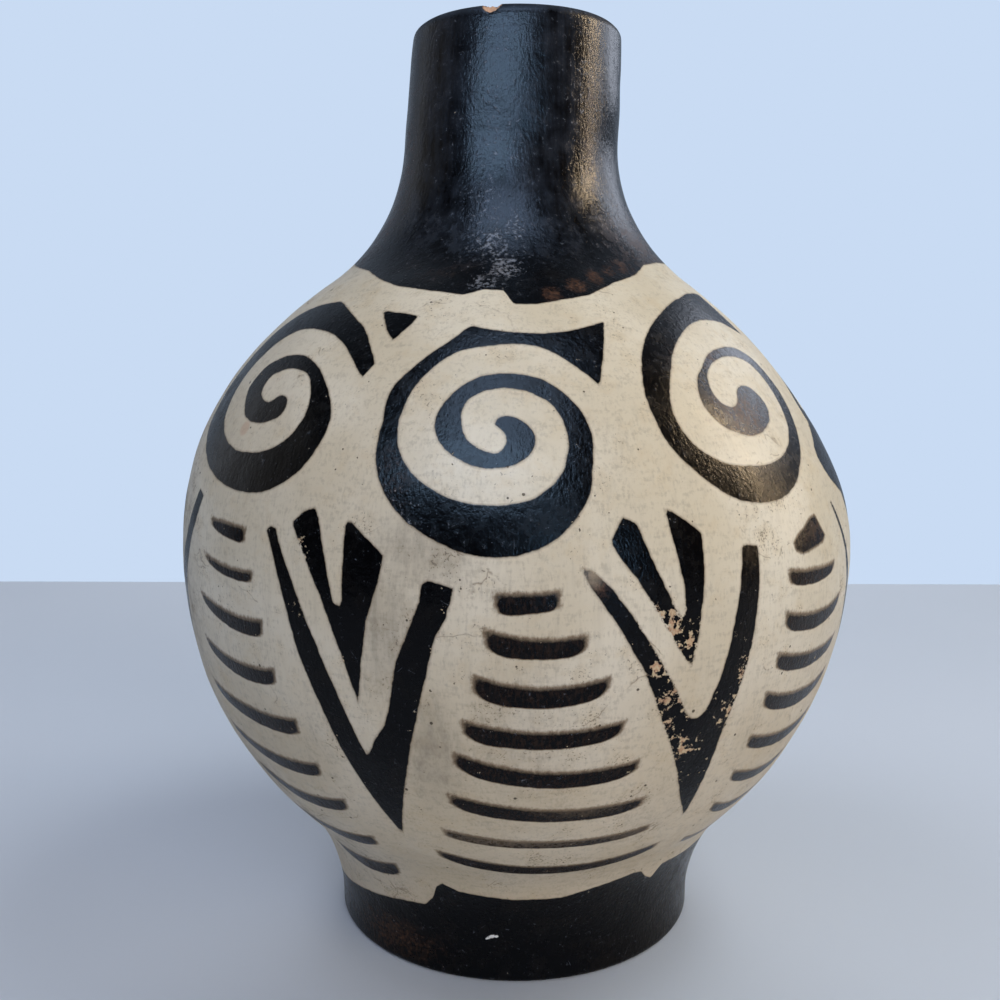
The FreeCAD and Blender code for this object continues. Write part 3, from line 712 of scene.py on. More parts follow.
# Patches of wear and dirt, and a painted highlight streak on the neck: turn, height, reach round, reach up,
# strength
patches = {
    "flake": [
        (18.7, 79, 0.9, 1.3, 1.3), (18, 88, 2, 3, 0.75), (21, 86.5, 2.5, 3.5, 0.9), (20.5, 80, 3, 4, 0.6),
        (23.5, 83, 1, 2, 1.0), (23.5, 74, 2.2, 5, 0.8), (21.2, 72, 2, 3, 0.9), (20, 75, 0.5, 0.5, 1.2),
        (22.5, 66, 2.5, 4, 0.75), (26, 62, 4, 3, 0.75), (28, 55, 4, 5, 0.35), (33, 76, 2, 7, 0.5),
        (31.5, 68, 3, 4, 0.6), (24, 84, 3, 5, 0.55), (-30, 99, 1.6, 2.2, 0.8), (-31.4, 88, 1.2, 1.6, 0.6),
        (-9, 80, 2, 3, 0.3), (140, 70, 5, 7, 0.6), (187, 62, 4, 7, 0.6), (216, 112, 6, 6, 0.45),
        (247, 58, 4, 7, 0.6),
    ],
    "brown": [
        (42, 122, 8, 5, 1.0), (40, 133, 9, 3, 0.8), (33, 118, 9, 9, 0.3), (48, 92, 9, 9, 0.45),
        (50, 99, 6, 3, 0.7),
        (60, 156, 26, 9, 0.7), (18, 146.6, 3, 1.6, 1.2), (25, 148.5, 2.5, 1.4, 1.2),
        # The brown patch at turn 43 and height 178, tall and narrow, is a painted warm highlight streak up
        # the neck
        (11, 144.8, 2.5, 1.6, 1.2), (31, 150, 2.5, 1.4, 1.0), (38, 151, 6, 2, 0.8), (43, 178, 5, 26, 0.5),
        (-66, 172, 16, 32, 0.7), (-40, 6, 22, 6, 0.75), (-16, 112, 4, 8, 0.5), (-20, 150, 26, 4, 0.35),
        (5, 48, 22, 14, 0.3), (5, 36, 30, 8, 0.5), (-48, 24, 16, 6, 0.4), (10.5, 95, 2, 4, 1.0),
        (-66, 118, 6, 22, 0.5),
        (110, 130, 20, 12, 0.5), (200, 60, 24, 20, 0.4), (150, 170, 30, 20, 0.5), (250, 100, 18, 14, 0.4),
        (230, 8, 30, 8, 0.6), (120, 6, 20, 6, 0.5),
    ],
    "thin": [
        (11, 50, 10, 3, 0.5), (2, 42, 18, 3, 0.75), (20, 42, 8, 3, 0.6), (19, 34, 11, 3, 0.4),
        (-54, 92, 6, 3, 0.3),
        (10, 96, 1.6, 2.5, 0.9), (-9, 113, 5, 4, 0.3), (45, 33, 12, 3, 0.7), (183, 44, 18, 4, 0.6),
        (226, 52, 16, 4, 0.5), (96, 40, 14, 5, 0.6),
    ],
    "smoke": [
        (-12, 100, 9, 9, 0.9), (-17, 86, 6, 18, 0.85), (-6, 94, 8, 4, 0.4), (-12, 62, 6, 14, 0.9),
        (14, 118, 5, 14, 0.35), (-68, 84, 12, 34, 0.8), (-60, 44, 14, 14, 0.6), (0, 64, 12, 22, 0.55),
        (24, 46, 10, 12, 0.5), (10, 28, 30, 7, 0.5), (38, 62, 4, 12, 0.4), (-74, 115, 12, 16, 0.6),
        (-30, 60, 4, 16, 0.4), (-46, 30, 16, 10, 0.5), (95, 70, 18, 30, 0.5), (170, 95, 22, 16, 0.6),
        (210, 45, 20, 20, 0.5), (275, 100, 20, 20, 0.6),
    ],
    "dust": [
        (-1, 150.5, 5, 3.2, 1.0), (-6, 147.2, 4, 1.8, 0.95), (-5, 156, 9, 5, 0.75), (2, 159, 5, 4, 0.7),
        # The dust patches at turn 40 and 44 add pale bloom to that painted highlight streak
        (-9, 164, 9, 6, 0.5), (-6, 176, 12, 10, 0.35), (-10, 190, 14, 14, 0.3), (44, 168, 10, 12, 0.45),
        (40, 190, 14, 12, 0.4), (-16, 106, 4, 4, 0.4),
        (160, 156, 20, 8, 0.7), (260, 160, 20, 10, 0.6),
    ],
}
bareSpots = [(-48, 119, 1.6, 1.8, 0.8)]  # where clay of a warmer tone shows through
whiteSpots = [(-6.3, 10.9, 1.1, 0.55, 1.0), (-4.9, 11.3, 0.9, 0.6, 0.9), (-7.6, 10.4, 0.8, 0.45, 0.8)]

skinLine = np.array(
    arcPoints(footCentre, vase["footFlare"], 180, 180 - footTurn, 1)
    + arcPoints(bowlCentre, vase["bowlArc"], -footTurn, 0, 1)[1:]
    + arcPoints(courseCentre, vase["courseArc"], 0, courseTurn, 1)[1:]
    + arcPoints(shoulderCentre, vase["shoulderArc"], courseTurn, neckTurn, 1)[1:]
    + arcPoints(flareCentre, vase["flareArc"], 180 + neckTurn, 180, 1)[1:]
    + arcPoints(neckCentre, vase["neckArc"], 0, crestTurn, 1)[1:]
)
skinWay = np.concatenate([[0], np.cumsum(np.hypot(*np.diff(skinLine, axis=0).T))])


def wayUp(height):
    # Distance along the wall from the foot
    return np.interp(height, skinLine[:, 1], skinWay)


def perDegree(height):
    return math.radians(1) * float(np.interp(height, skinLine[:, 1], skinLine[:, 0]))


def turnFrom(turn, centre):
    return (turn - centre + 180) % 360 - 180


def smoothLine(points, spans=5):
    # A smooth line through the given points
    p = np.array(points, float)
    slope = np.gradient(p, axis=0)
    t = np.linspace(0, 1, spans, endpoint=False)[:, None]
    parts = [
        (2 * t**3 - 3 * t**2 + 1) * a + (t**3 - 2 * t**2 + t) * da
        + (3 * t**2 - 2 * t**3) * b + (t**3 - t**2) * db
        for a, b, da, db in zip(p[:-1], p[1:], slope[:-1], slope[1:])
    ]
    return np.concatenate(parts + [p[-1:]])


def insideBy(outline, u, v):
    # Distance to a closed outline, positive inside
    best = np.full(u.shape, 1e9)
    inside = np.zeros(u.shape, bool)
    for (au, av), (bu, bv) in zip(outline, np.roll(outline, -1, axis=0)):
        eu, ev = bu - au, bv - av
        share = np.clip(((u - au) * eu + (v - av) * ev) / max(eu * eu + ev * ev, 1e-9), 0, 1)
        best = np.minimum(best, (u - au - share * eu) ** 2 + (v - av - share * ev) ** 2)
        if ev:
            inside ^= ((av > v) != (bv > v)) & (u < au + (v - av) * eu / ev)
    return np.where(inside, 1, -1) * np.sqrt(best)


farOut = -20.0  # what a place says that no shape is near
lowDrop = 0.45  # the pattern of the lower belly sits this much lower
nearReach = 6.0
fieldReach = 8  # how far in and out a shape's distance is told
curlPower = 9  # how close to its ends a stripe curls
capSoft = 0.45  # how brushed a ladder's cap is


def shapeField(points, centre, turn, height, turnBy, heightBy, stretch):
    p = np.array(points, float)
    scale = perDegree(p[:, 1].mean() + heightBy)
    shape = np.stack([(p[:, 0] - centre) * stretch * scale, wayUp(p[:, 1] + heightBy)], 1)
    u, v = turnFrom(turn, centre + turnBy) * scale, wayUp(height)
    low, high = shape.min(0) - nearReach, shape.max(0) + nearReach
    near = (u > low[0]) & (u < high[0]) & (v > low[1]) & (v < high[1])
    field = np.full(turn.shape, farOut)
    field[near] = insideBy(shape, u[near], v[near])
    return field


def stripeField(stripe, shape, turn, height, turnBy, heightBy, stretch):
    # The lower edge of a stripe is crisp, and its upper edge is brushed out
    left, right, leftZ, middleZ, rightZ, thick = stripe
    centre = shape["centre"]
    scale = perDegree(middleZ + heightBy)
    half = (right - left) / 2 * stretch * scale
    across = turnFrom(turn, centre + turnBy + ((left + right) / 2 - centre) * stretch) * scale
    share = np.clip(across / half, -1.3, 1.3)
    line = middleZ + heightBy + (rightZ - leftZ) / 2 * share + ((leftZ + rightZ) / 2 - middleZ) * share**2
    body = thick * np.interp(share, (-1, 0, 1), (shape["taper"][0], 1, shape["taper"][1]))
    bend = np.where(share < 0, shape["curl"][0], shape["curl"][1]) * thick
    curl = bend * np.abs(share) ** curlPower
    slope = bend * curlPower * np.abs(share) ** (curlPower - 1) / half
    way, middle = wayUp(height), wayUp(line)
    under = (way - middle + body / 2 - curl) / np.sqrt(1 + slope**2)
    over = middle + body / 2 - way
    field = np.minimum(np.minimum(under, over), (half - np.abs(across)) * 0.8)
    brushed = np.clip((way - middle) / thick * 1.4 + 0.35, 0, 1)
    ends = np.clip((np.abs(share) - 0.85) / 0.15, 0, 1)
    return field, np.maximum(brushed, ends * 0.6)


def coatEdge(coat, turn):
    at, level = np.array(coat, float).T
    at = at % 360
    order = np.argsort(at)
    return np.interp(turn % 360, at[order], level[order], period=360)


def paintFields(turn, height):
    ink = np.full(turn.shape, farOut)
    stripe = np.full(turn.shape, farOut)
    soft = np.zeros(turn.shape)
    height = height + lowDrop * np.clip((80 - height) / 30, 0, 1)
    for name, *move in layout["spirals"]:
        shape = spiralShapes[name]
        outline = np.concatenate([smoothLine(shape["inner"] + shape["outer"]), shape["tail"]])
        ink = np.maximum(ink, shapeField(outline, shape["centre"], turn, height, *move))
    for shape in (tongue, smallTriangle):
        ink = np.maximum(ink, shapeField(shape["outline"], shape["centre"], turn, height, 0, 0, 1))
    for name, turnBy, heightBy, stretch, leafBy in layout["forks"]:
        shape = forkShapes[name]
        for part, extra in (("vee", 0), ("leaf", leafBy)):
            if extra is None:
                continue
            field = shapeField(shape[part], shape["centre"], turn, height, turnBy, heightBy + extra, stretch)
            ink = np.maximum(ink, field)
    ink = np.maximum(ink, wayUp(height) - wayUp(coatEdge(neckCoat, turn)))
    ink = np.maximum(ink, wayUp(coatEdge(footCoat, turn)) - wayUp(height))
    for name, *move in layout["ladders"]:
        shape = ladderShapes[name]
        for row in shape["stripes"]:
            field, brushed = stripeField(row, shape, turn, height, *move)
            soft = np.where(field > stripe, brushed, soft)
            stripe = np.maximum(stripe, field)
        if "cap" in shape:
            field = shapeField(shape["cap"], shape["centre"], turn, height, *move)
            soft = np.where(field > stripe, capSoft, soft)
            stripe = np.maximum(stripe, field)
    return ink, stripe, soft


def patchField(spots, turn, height):
    total = np.zeros(turn.shape)
    for at, level, wide, tall, strength in spots:
        away = np.hypot(turnFrom(turn, at) / wide, (height - level) / tall)
        total = np.maximum(total, strength * np.exp(-0.9 * away**2))
    return total


def readAll(items, name, width=1, kind=np.float32):
    # One property of all items, as rows where it holds several numbers
    flat = np.empty(len(items) * width, kind)
    items.foreach_get(name, flat)
    return flat.reshape(-1, width) if width > 1 else flat


def setField(mesh, name, values):
    mesh.attributes.new(name, "FLOAT", "POINT").data.foreach_set("value", np.asarray(values, np.float32))


def paintPiece(piece):
    mesh = piece.data
    count = len(mesh.vertices)
    kind = readAll(mesh.attributes["kind"].data, "value")
    x, y, z = readAll(mesh.attributes["rest"].data, "vector", 3).astype(float).T / mm
    turn, reach = np.degrees(np.arctan2(x, -y)), np.hypot(x, y)
    skin = kind > 0.5
    ink, stripe, soft = np.full(count, farOut), np.full(count, farOut), np.zeros(count)
    ink[skin], stripe[skin], soft[skin] = paintFields(turn[skin], z[skin])
    inside = ~skin & (z > throatZ)
    ink[inside] = np.clip(z[inside] - mouthCoatZ, -fieldReach, fieldReach)
    under = ~skin & (z < vase["footEdge"] + 0.5)
    ink[under] = reach[under] - standingCoatReach
    setField(mesh, "ink", np.clip(ink, -fieldReach, fieldReach))
    setField(mesh, "stripe", np.clip(stripe, -fieldReach, fieldReach))
    setField(mesh, "soft", soft)
    away = np.linalg.norm(np.stack([x, y, z], 1) - chipPlace / mm, axis=1)
    setField(mesh, "broken", clay["chipReach"] - away)
    for name, spots in {**patches, "bare": bareSpots, "white": whiteSpots}.items():
        setField(mesh, name, patchField(spots, turn, z))


# The wall is one skin to the eye, so each vertex takes its normal from all the members that meet there

def shareNormals(pieces):
    places, sums, owners = [], [], []
    for piece in pieces:
        mesh = piece.data
        count, faces = len(mesh.vertices), len(mesh.polygons)
        corner = readAll(mesh.loops, "vertex_index", 1, np.int32)
        starts = readAll(mesh.polygons, "loop_start", 1, np.int32)
        normal, area = readAll(mesh.polygons, "normal", 3), readAll(mesh.polygons, "area")
        kind = readAll(mesh.attributes["kind"].data, "value")
        rest = readAll(mesh.attributes["rest"].data, "vector", 3)
        ofFace = np.repeat(np.arange(faces), np.diff(np.append(starts, len(corner))))
        seam = np.zeros(faces, bool)
        np.logical_or.at(seam, ofFace, kind[corner] < -0.5)
        weighted = normal * (area * ~seam)[:, None]
        total = np.zeros((count, 3))
        np.add.at(total, corner, weighted[ofFace])
        places.append(np.round(rest / (0.002 * mm)).astype(np.int64))
        sums.append(total)
        owners.append(count)
    _, same = np.unique(np.concatenate(places), axis=0, return_inverse=True)
    same = same.ravel()
    joined = np.zeros((same.max() + 1, 3))
    np.add.at(joined, same, np.concatenate(sums))
    length = np.linalg.norm(joined, axis=1, keepdims=True)
    joined = np.where(length > 0, joined / np.maximum(length, 1e-30), 0)[same]
    first = 0
    for piece, count in zip(pieces, owners):
        piece.data.normals_split_custom_set_from_vertices(joined[first:first + count].tolist())
        first += count


# The piece's own map for its surface: the painted face in stacked strips, and the bare faces in a thin
# strip on top

mapStrips = {"foot_ring": 3, "bowl": 3, "belly_course": 4, "shoulder_course": 4, "neck": 2, "lip": 4}
bareShare, mapEdge = 0.12, 0.004


def layMap(piece, strips, points):
    mesh = piece.data
    layer = mesh.uv_layers["OFBake"]
    u, v = readAll(layer.data, "uv", 2).astype(float).T
    starts = readAll(mesh.polygons, "loop_start", 1, np.int32)
    material = readAll(mesh.polygons, "material_index", 1, np.int32)
    sizes = np.diff(np.append(starts, len(u)))
    ofFace = np.repeat(np.arange(len(sizes)), sizes)
    middle = np.bincount(ofFace, u) / sizes
    way = np.concatenate([[0], np.cumsum(np.hypot(*np.diff(np.array(points), axis=0).T))])
    along = np.interp(v * (len(way) - 1), np.arange(len(way)), way)
    skinIndex = [i for i, m in enumerate(mesh.materials) if m.name == "paintedSlip"]
    skin = np.isin(material, skinIndex)[ofFace]
    strip = np.clip(np.floor(middle * strips), 0, strips - 1)[ofFace]
    room = (1 - bareShare) / strips if skin.any() else 0
    newU, newV = np.empty_like(u), np.empty_like(v)
    for mask, fresh in ((skin, True), (~skin, False)):
        if not mask.any():
            continue
        low, high = along[mask].min(), along[mask].max()
        share = (along[mask] - low) / (high - low)
        if fresh:
            newU[mask] = mapEdge + (1 - 2 * mapEdge) * (u[mask] * strips - strip[mask])
            newV[mask] = strip[mask] * room + mapEdge + (room - 2 * mapEdge) * share
        else:
            base = 1 - bareShare if skin.any() else 0
            newU[mask] = mapEdge + (1 - 2 * mapEdge) * u[mask]
            newV[mask] = base + mapEdge + (1 - base - 2 * mapEdge) * share
    layer.data.foreach_set("uv", np.stack([newU, newV], 1).ravel().astype(np.float32))


# Finishes

def tone(red, green, blue):
    # A colour as a screen names it, in linear light
    parts = [c / 255 for c in (red, green, blue)]
    return (*[c / 12.92 if c <= 0.04045 else ((c + 0.055) / 1.055) ** 2.4 for c in parts], 1.0)


finish = {
    "cream": tone(211, 202, 183),
    "creamLight": tone(224, 218, 204),
    "creamWarm": tone(198, 180, 148),
    "creamLow": tone(182, 157, 120),
    "smokeGrey": tone(130, 121, 108),
    "fleck": tone(62, 52, 42),
    "crack": tone(112, 94, 76),
    "black": tone(5, 5, 7),
    "blackWarm": tone(17, 14, 12),
    "brown": tone(84, 56, 38),
    "brownDeep": tone(46, 32, 24),
    "halo": tone(112, 90, 66),
    "flake": tone(180, 140, 110),
    "dust": tone(158, 168, 186),
    "haze": tone(124, 142, 172),
    "dustWarm": tone(150, 128, 110),
    "clay": tone(150, 116, 88),
    "clayDark": tone(104, 78, 60),
    "chip": tone(198, 162, 138),
    "white": tone(226, 226, 224),
}


def slipMaterial(name, bare):
    material = bpy.data.materials.new(name)
    material.use_nodes = True
    material.node_tree.nodes.clear()
    make = Maker(material.node_tree)
    place = make.add("ShaderNodeTexCoord", None, None, 3)

    def field(attribute):
        return make.add("ShaderNodeAttribute", {"attribute_name": attribute}, None, 2)

    def stretched(x, y, z):
        return make.vector("MULTIPLY", place, (x, y, z))

    # Shared grain, from broad to fine
    broad = make.noise(place, 24 * mm, 2)
    mottle = make.noise(place, 6 * mm, 4, 0.65)
    grain = make.noise(place, 0.75 * mm, 3, 0.65)
    streak = make.noise(stretched(1, 1, 0.06), 1.6 * mm, 3, 0.6)
    bristle = make.noise(stretched(1, 1, 0.35), 0.5 * mm, 2, 0.6)
    speckle = make.noise(place, 1.5 * mm, 4, 0.7)
    level = Wire(make, make.add("ShaderNodeSeparateXYZ", None, {0: place}).socket.node.outputs[2])

    # Dark pits, each Voronoi cell with a size of its own
    cellSize = 1.35 * mm
    cellFar = make.cells(place, cellSize)
    cellColour = make.cells(place, cellSize, output=1)
    cellPick = make.add("ShaderNodeSeparateColor", None, {0: cellColour}).socket.node
    pick, pickTwo = Wire(make, cellPick.outputs[0]), Wire(make, cellPick.outputs[1])
    crowd = mottle.rise(0.42, 0.68, 0.03, 0.3)
    pit = ((crowd - pick).rise(0.0, 0.05) * (pickTwo * pickTwo * 0.2 + 0.08) - cellFar).rise(0.0, 0.05)

    ink, stripe = field("ink"), field("stripe")
    relief = make.noise(stretched(1, 1, 0.35), 7 * mm, 1, 0.4) * 0.1
    relief = relief + streak * 0.03 + grain * 0.022 - pit * 0.06

    if bare:
        coarse = make.noise(place, 1.4 * mm, 4, 0.7)
        ground = make.mix(mottle.rise(0.3, 0.7), finish["clay"], finish["clayDark"])
        ground = make.mix(coarse.rise(0.45, 0.75) * 0.5, ground, finish["clayDark"])
        black = ink.rise(-0.4, 0.4) * 0.9
        colour = make.mix(black, ground, finish["blackWarm"])
        roughness = black * -0.25 + 0.78 + (mottle - 0.5) * 0.1
        relief = relief + coarse * 0.1
    else:
        soft, flakeZone, brownZone = field("soft"), field("flake"), field("brown")
        thinZone, smokeZone, dustAndSheenZone = field("thin"), field("smoke"), field("dust")

        # Cream ground with smoke, grime and hairline cracks, and painted shade that makes it darker and
        # warmer towards the bottom
        ground = make.mix(broad.rise(0.35, 0.65), finish["cream"], finish["creamLight"])
        ground = make.mix(mottle.rise(0.46, 0.74) * 0.4, ground, finish["creamWarm"])
        smoke = (smokeZone * (mottle + streak * 0.7)).rise(0.12, 0.95)
        # Painted shade: the cream darkens and warms below about 105 mm, where the lower belly is in shade
        # with warm bounce light
        ground = make.mix(level.rise(0.03, 0.105, 0.55, 0.0), ground, finish["creamLow"])
        ground = make.mix(smoke * 0.5 + streak.rise(0.5, 0.75) * 0.12, ground, finish["smokeGrey"])
        wiped = make.noise(stretched(0.3, 0.3, 1), 1.1 * mm, 3, 0.65)
        grime = (bristle * 0.5 + wiped * 0.5 + smokeZone * 0.05).rise(0.48, 0.68)
        ground = make.mix(grime * 0.3, ground, finish["smokeGrey"])
        crumbs = make.noise(place, 0.45 * mm, 2, 0.5) + mottle * 0.75 + broad * 0.35 + smokeZone * 0.05
        ground = make.mix(crumbs.rise(1.27, 1.35) * 0.5, ground, finish["fleck"])
        drift = make.add("ShaderNodeTexNoise", None, {
            "Vector": place, "Scale": 1 / (5 * mm), "Detail": 2.0}, 1)
        drift = make.vector("SUBTRACT", drift, (0.5, 0.5, 0.5))
        warp = make.add("ShaderNodeVectorMath", {"operation": "SCALE"}, {0: drift, 3: 3.5 * mm})
        crackPlace = make.vector("ADD", stretched(0.6, 0.6, 1.2), warp)
        crackEdge = make.cells(crackPlace, 20 * mm, "DISTANCE_TO_EDGE")
        crack = crackEdge.rise(0.0, 0.009, 1.0, 0.0) * mottle.rise(0.49, 0.58) * broad.rise(0.48, 0.55)
        ground = make.mix(crack * 0.5, ground, finish["crack"])
        ground = make.mix(pit * 0.85, ground, finish["fleck"])

        # Black: crisp shapes with a thin brown line round them, and stripes brushed out upwards
        wobble = (make.noise(place, 2.2 * mm, 1) - 0.5) * 0.4
        inkEdge = ink + wobble + (grain - 0.5) * 0.25 - flakeZone * grain.rise(0.45, 0.6) * 0.8
        brush = (bristle - 0.5) * 0.5 + (grain - 0.5) * 0.8
        stripeEdge = stripe + wobble * 0.8 + brush * (soft * 0.85 + 0.15)
        inkMask = inkEdge.rise(-0.12, 0.14)
        stripeMask = stripeEdge.rise(soft * -0.4 - 0.12, soft * 0.55 + 0.12)
        halo = (stripeEdge.rise(soft * -0.65 - 0.3, soft * -0.1) * 0.8).most(inkEdge.rise(-0.5, 0.1) * 0.55)
        mask = inkMask.most(stripeMask)
        flake = (speckle + flakeZone * 0.3 - ink.rise(0.0, 2.6) * 0.04).rise(0.69, 0.71)
        worn = (thinZone * (bristle * 0.7 + speckle * 0.8)).rise(0.1, 0.85)
        black = mask * (1 - flake) * (1 - worn * 0.75)

        # Brown patches, one of them a painted warm highlight streak up the neck
        warm = (brownZone * (mottle * 0.8 + speckle * 0.9 - 0.35)).rise(0.12, 0.62)
        coat = make.mix(mottle.rise(0.45, 0.7) * 0.6, finish["black"], finish["blackWarm"])
        coat = make.mix((1 - inkMask) * bristle.rise(0.4, 0.7) * 0.6, coat, finish["brownDeep"])
        earth = make.mix(grain.rise(0.4, 0.65), finish["brownDeep"], finish["brown"])
        coat = make.mix(warm * 0.8, coat, earth)
        # Painted sheen: a faint bluish reflection laid into the black all round the neck
        neckSheen = level.rise(0.148, 0.16) * (streak * 0.4 + mottle * 0.6).rise(0.3, 0.7)
        coat = make.mix(neckSheen * 0.08, coat, finish["haze"])
        # Pale bloom and motes: dust at the neck base, and painted highlight on the streak up the right of the
        # neck
        bloom = (grain * 0.6 + speckle * 0.4 + dustAndSheenZone * 0.24).rise(0.63, 0.84)
        moteCell = (pickTwo + dustAndSheenZone * 0.3 + brownZone * 0.1).rise(0.96, 1.1)
        motes = cellFar.rise(0.07, 0.16, 1.0, 0.0) * moteCell
        powderAndSheen = make.mix(brownZone, finish["dust"], finish["dustWarm"])
        coat = make.mix((bloom * 0.55).most(motes * 0.7), coat, powderAndSheen)
        scratchCells = make.cells(stretched(1, 1.2, 0.7), 8 * mm, "DISTANCE_TO_EDGE")
        scratch = scratchCells.rise(0.0, 0.006, 1.0, 0.0) * speckle.rise(0.54, 0.64)
        coat = make.mix(scratch * 0.22, coat, finish["dust"])

        colour = make.mix(halo * (1 - flake * inkMask), ground, finish["halo"])
        colour = make.mix(black, colour, coat)
        flaked = flake * mask
        laidOpen = make.mix(grain.rise(0.45, 0.65), finish["flake"], finish["creamWarm"])
        colour = make.mix(flaked * 0.9, colour, laidOpen)
        chipped = field("broken").rise(0.1, 0.5).most(field("bare").rise(0.35, 0.6) * 0.45)
        colour = make.mix(chipped, colour, finish["chip"])
        colour = make.mix((field("white") + grain * 0.5).rise(0.75, 0.85), colour, finish["white"])

        # Gloss: burnished in upright strokes, duller where it is worn, flaked or dusty
        roughness = black * -0.2 + 0.46
        roughness = roughness + (streak - 0.5) * 0.14 + (mottle - 0.5) * 0.35 + (speckle - 0.5) * 0.3
        roughness = roughness - level.rise(0.155, 0.17) * 0.05 + level.rise(0.2025, 0.2045) * 0.4
        roughness = roughness + flaked * 0.4 + warm * black * 0.1 + bloom * black * 0.18
        roughness = roughness + pit * 0.2 + chipped * 0.4
        relief = relief - flaked * 0.05 - crack * 0.03 + black * 0.012 + (speckle - 0.5) * black * 0.07
        relief = relief + (make.noise(stretched(1, 1, 0.4), 0.6 * mm, 2, 0.6) - 0.5) * black * 0.075
        relief = relief + bloom * black * 0.03

    normal = make.add("ShaderNodeBump", None, {"Strength": 1.0, "Distance": mm, "Height": relief})
    surface = make.add("ShaderNodeBsdfPrincipled", None, {
        "Base Color": colour, "Roughness": roughness.most(0.2).least(0.95), "Normal": normal, "IOR": 1.2})
    make.add("ShaderNodeOutputMaterial", None, {"Surface": surface})
    return material


# Build

paintedSlip = slipMaterial("paintedSlip", False)
bareClay = slipMaterial("bareClay", True)
tree = clayTree(paintedSlip, bareClay)
sections = memberSections()
pieceNames = {
    "foot_ring": ("turnedFootRing", "black_slip"),
    "bowl": ("turnedBowl", "cream_slip"),
    "belly_course": ("turnedBellyCourse", "cream_slip"),
    "shoulder_course": ("turnedShoulder", "cream_slip"),
    "neck": ("turnedNeck", "black_slip"),
    "lip": ("turnedLip", "black_slip"),
    "belly_seam_coil": ("bellySeamRoll", "bare_clay"),
    "shoulder_seam_coil": ("shoulderSeamRoll", "bare_clay"),
    "neck_seam_coil": ("neckSeamRoll", "bare_clay"),
}
pieces = {}
for node, (pieceName, slotName) in pieceNames.items():
    values = {"ChipPlace": chipPlace.tolist()} if node == "lip" else {}
    if slotName == "bare_clay":
        values["Steps"] = vase["coilTurnSteps"]
    piece = turnPiece(pieceName, sections[node], tree, **values)
    paintPiece(piece)
    layMap(piece, mapStrips.get(node, 1), sections[node][0])
    pieces[node] = piece
    print(pieceName, len(piece.data.polygons), "faces")
shareNormals([pieces[node] for node in mapStrips])
for node, piece in pieces.items():
    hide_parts(node)
    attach(piece, "root")
print("members turned and painted")


# Floor, light and camera

stage = {
    "floorReach": 1.6,
    "floorBack": 0.353,  # where the table ends behind the vase
    "floorColour": tone(198, 210, 230),
    "floorCloud": tone(205, 216, 235),
    "cloudSize": 0.16,
    "floorRoughness": 0.7,
    "wallColour": tone(201, 219, 243),
    "ambient": 0.10,
    "mirrored": 0.5,  # how much of the wall's brightness reflections see
}


def buildStage():
    reach, back = stage["floorReach"], stage["floorBack"]
    mesh = bpy.data.meshes.new("tableTop")
    corners = [(-reach, -reach, 0), (reach, -reach, 0), (reach, back, 0), (-reach, back, 0)]
    mesh.from_pydata(corners, [], [(0, 1, 2, 3)])
    floor = bpy.data.objects.new("tableTop", mesh)
    bpy.context.scene.collection.objects.link(floor)
    material = bpy.data.materials.new("paleTable")
    material.use_nodes = True
    material.node_tree.nodes.clear()
    make = Maker(material.node_tree)
    place = make.add("ShaderNodeTexCoord", None, None, 3)
    cloud = make.noise(place, stage["cloudSize"], 2)
    colour = make.mix(cloud, stage["floorColour"], stage["floorCloud"])
    surface = make.add("ShaderNodeBsdfPrincipled", None, {
        "Base Color": colour, "Roughness": stage["floorRoughness"]})
    make.add("ShaderNodeOutputMaterial", None, {"Surface": surface})
    mesh.materials.append(material)

    world = bpy.data.worlds.new("paleRoom")
    bpy.context.scene.world = world
    world.use_nodes = True
    world.node_tree.nodes.clear()
    make = Maker(world.node_tree)
    path = make.add("ShaderNodeLightPath").socket.node
    seen = Wire(make, path.outputs["Is Camera Ray"])
    passed = Wire(make, path.outputs["Is Transmission Ray"])
    mirrored = Wire(make, path.outputs["Is Glossy Ray"])
    bearing = make.add("ShaderNodeTexCoord", None, None, 0)
    way = make.add("ShaderNodeSeparateXYZ", None, {0: bearing}).socket.node
    # The wall stands behind the vase, the dim room in front
    behind = Wire(make, way.outputs[1]).rise(0.1, 0.5)
    shown = seen.most(passed).most(mirrored * behind * stage["mirrored"])
    other = (1 - seen.most(passed).most(mirrored)) * stage["ambient"]
    light = make.add("ShaderNodeBackground", None, {"Color": stage["wallColour"], "Strength": shown + other})
    make.add("ShaderNodeOutputWorld", None, {"Surface": light})


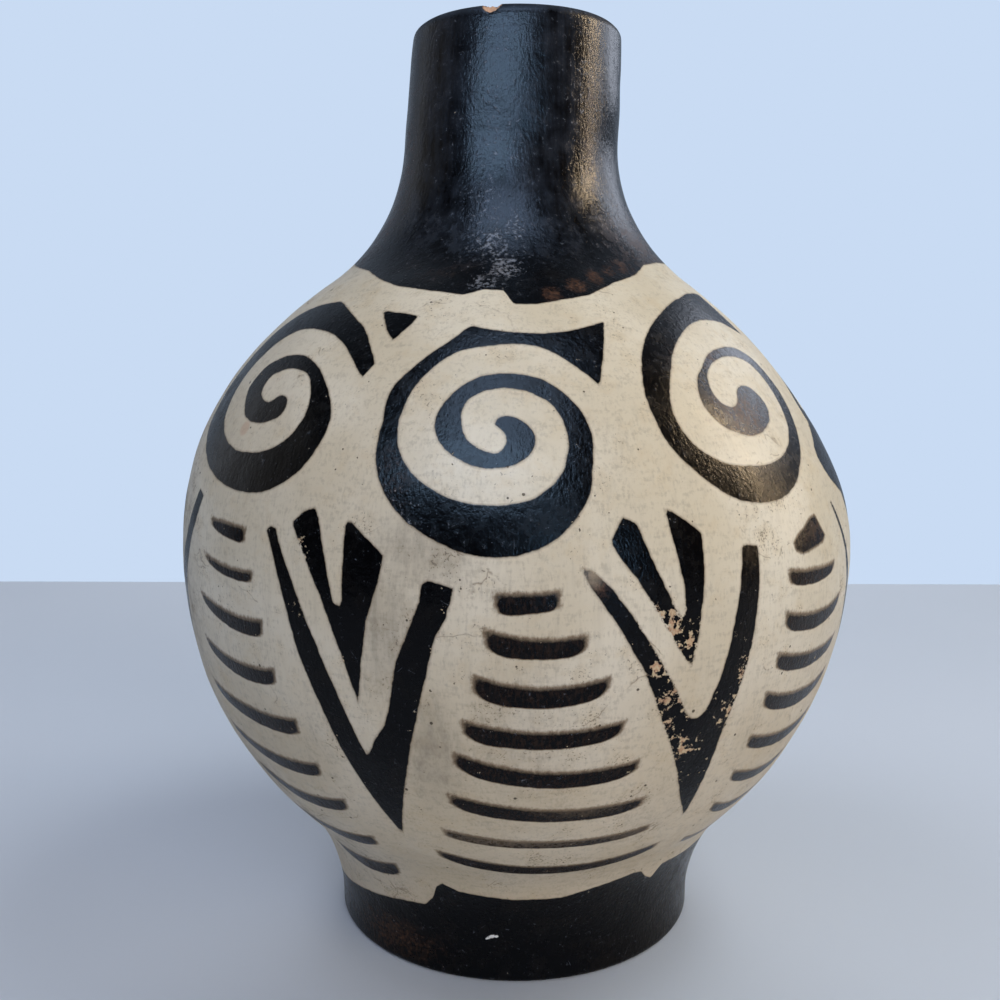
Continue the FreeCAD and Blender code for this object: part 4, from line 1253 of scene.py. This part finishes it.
# Each lamp: bearing (0 is the camera's side, 90 the right), height above the horizon in degrees, distance
# and size in metres, power, colour, and whether it is for the gloss alone. The others light the clay softly
# and stay out of the gloss.
lamps = {
    "keyRight": (90, 55, 1.1, 0.6, 0.6, 4.7, (0.98, 1.0, 0.95), False),
    "fillLeft": (-90, 55, 1.1, 0.6, 0.6, 2.6, (0.95, 0.94, 0.95), False),
    "fillFront": (12, 22, 1.1, 0.6, 0.6, 4.0, (1.0, 0.96, 0.97), False),
    "warmFront": (45, 22, 1.1, 0.6, 0.6, 2.4, (1.0, 0.74, 0.36), False),
    "fillBack": (180, 22, 1.1, 0.6, 0.6, 4.2, (1.0, 0.98, 0.95), False),
    "skyGloss": (-7, 64, 1.1, 0.55, 0.7, 14.5, (0.48, 0.68, 1.0), True),
    "leftGloss": (-100, 20, 0.95, 0.9, 0.6, 0.9, (0.96, 0.92, 0.88), True),
    "warmGloss": (91, 14, 0.95, 0.055, 0.4, 4.4, (1.0, 0.74, 0.46), True),
    "warmGlossHigh": (93, 33, 0.95, 0.06, 0.28, 6.2, (1.0, 0.74, 0.44), True),
    "lowGloss": (19, 8, 1.25, 0.3, 0.3, 5.0, (0.36, 0.64, 1.0), True),
}
# Two windows close to the vase, for the gloss alone: place, aimed height, size, power and colour
windows = {
    "frontWindow": ((-0.06, -0.25, 0.28), 0.19, (0.216, 0.095), 1.25, (0.44, 0.68, 1.0)),
    "sideWindow": ((0.322, 0.137, 0.321), 0.19, (0.32, 0.125), 0.62, (0.80, 0.86, 1.0)),
}
aimHeight = 0.11


def addLamp(name, place, aim, size, power, colour, forGloss):
    light = bpy.data.lights.new(name, "AREA")
    light.shape = "RECTANGLE"
    light.size, light.size_y = size
    light.energy = power
    light.color = colour
    item = bpy.data.objects.new(name, light)
    item.location = place
    item.rotation_euler = (Vector((0, 0, aim)) - Vector(place)).to_track_quat("-Z", "Y").to_euler()
    item.visible_camera = False
    item.visible_glossy = forGloss
    item.visible_diffuse = not forGloss
    bpy.context.scene.collection.objects.link(item)


def buildLamps():
    for name, (bearing, rise, far, wide, tall, power, colour, forGloss) in lamps.items():
        turn, lift = math.radians(bearing), math.radians(rise)
        level = math.cos(lift) * far
        place = (math.sin(turn) * level, -math.cos(turn) * level, aimHeight + math.sin(lift) * far)
        addLamp(name, place, aimHeight, (wide, tall), power, colour, forGloss)
    for name, (place, aim, size, power, colour) in windows.items():
        addLamp(name, place, aim, size, power, colour, True)


view = {
    "distance": 0.2572,
    "height": 0.1349,
    "pitch": 8.085,
    "yaw": 0.80,
    "lens": 38.99,
    "sensor": 36.0,
    "clipStart": 0.01,
}


def buildCamera():
    camera = bpy.data.cameras.new("photoView")
    camera.lens = view["lens"]
    camera.sensor_width = view["sensor"]
    camera.clip_start = view["clipStart"]
    item = bpy.data.objects.new("photoView", camera)
    item.location = (0, -view["distance"], view["height"])
    item.rotation_euler = Euler((math.radians(90 - view["pitch"]), 0, math.radians(view["yaw"])), "XYZ")
    bpy.context.scene.collection.objects.link(item)
    bpy.context.scene.camera = item


buildStage()
buildLamps()
buildCamera()
bpy.context.scene.view_settings.view_transform = "Standard"
print("stage, lamps and camera ready")
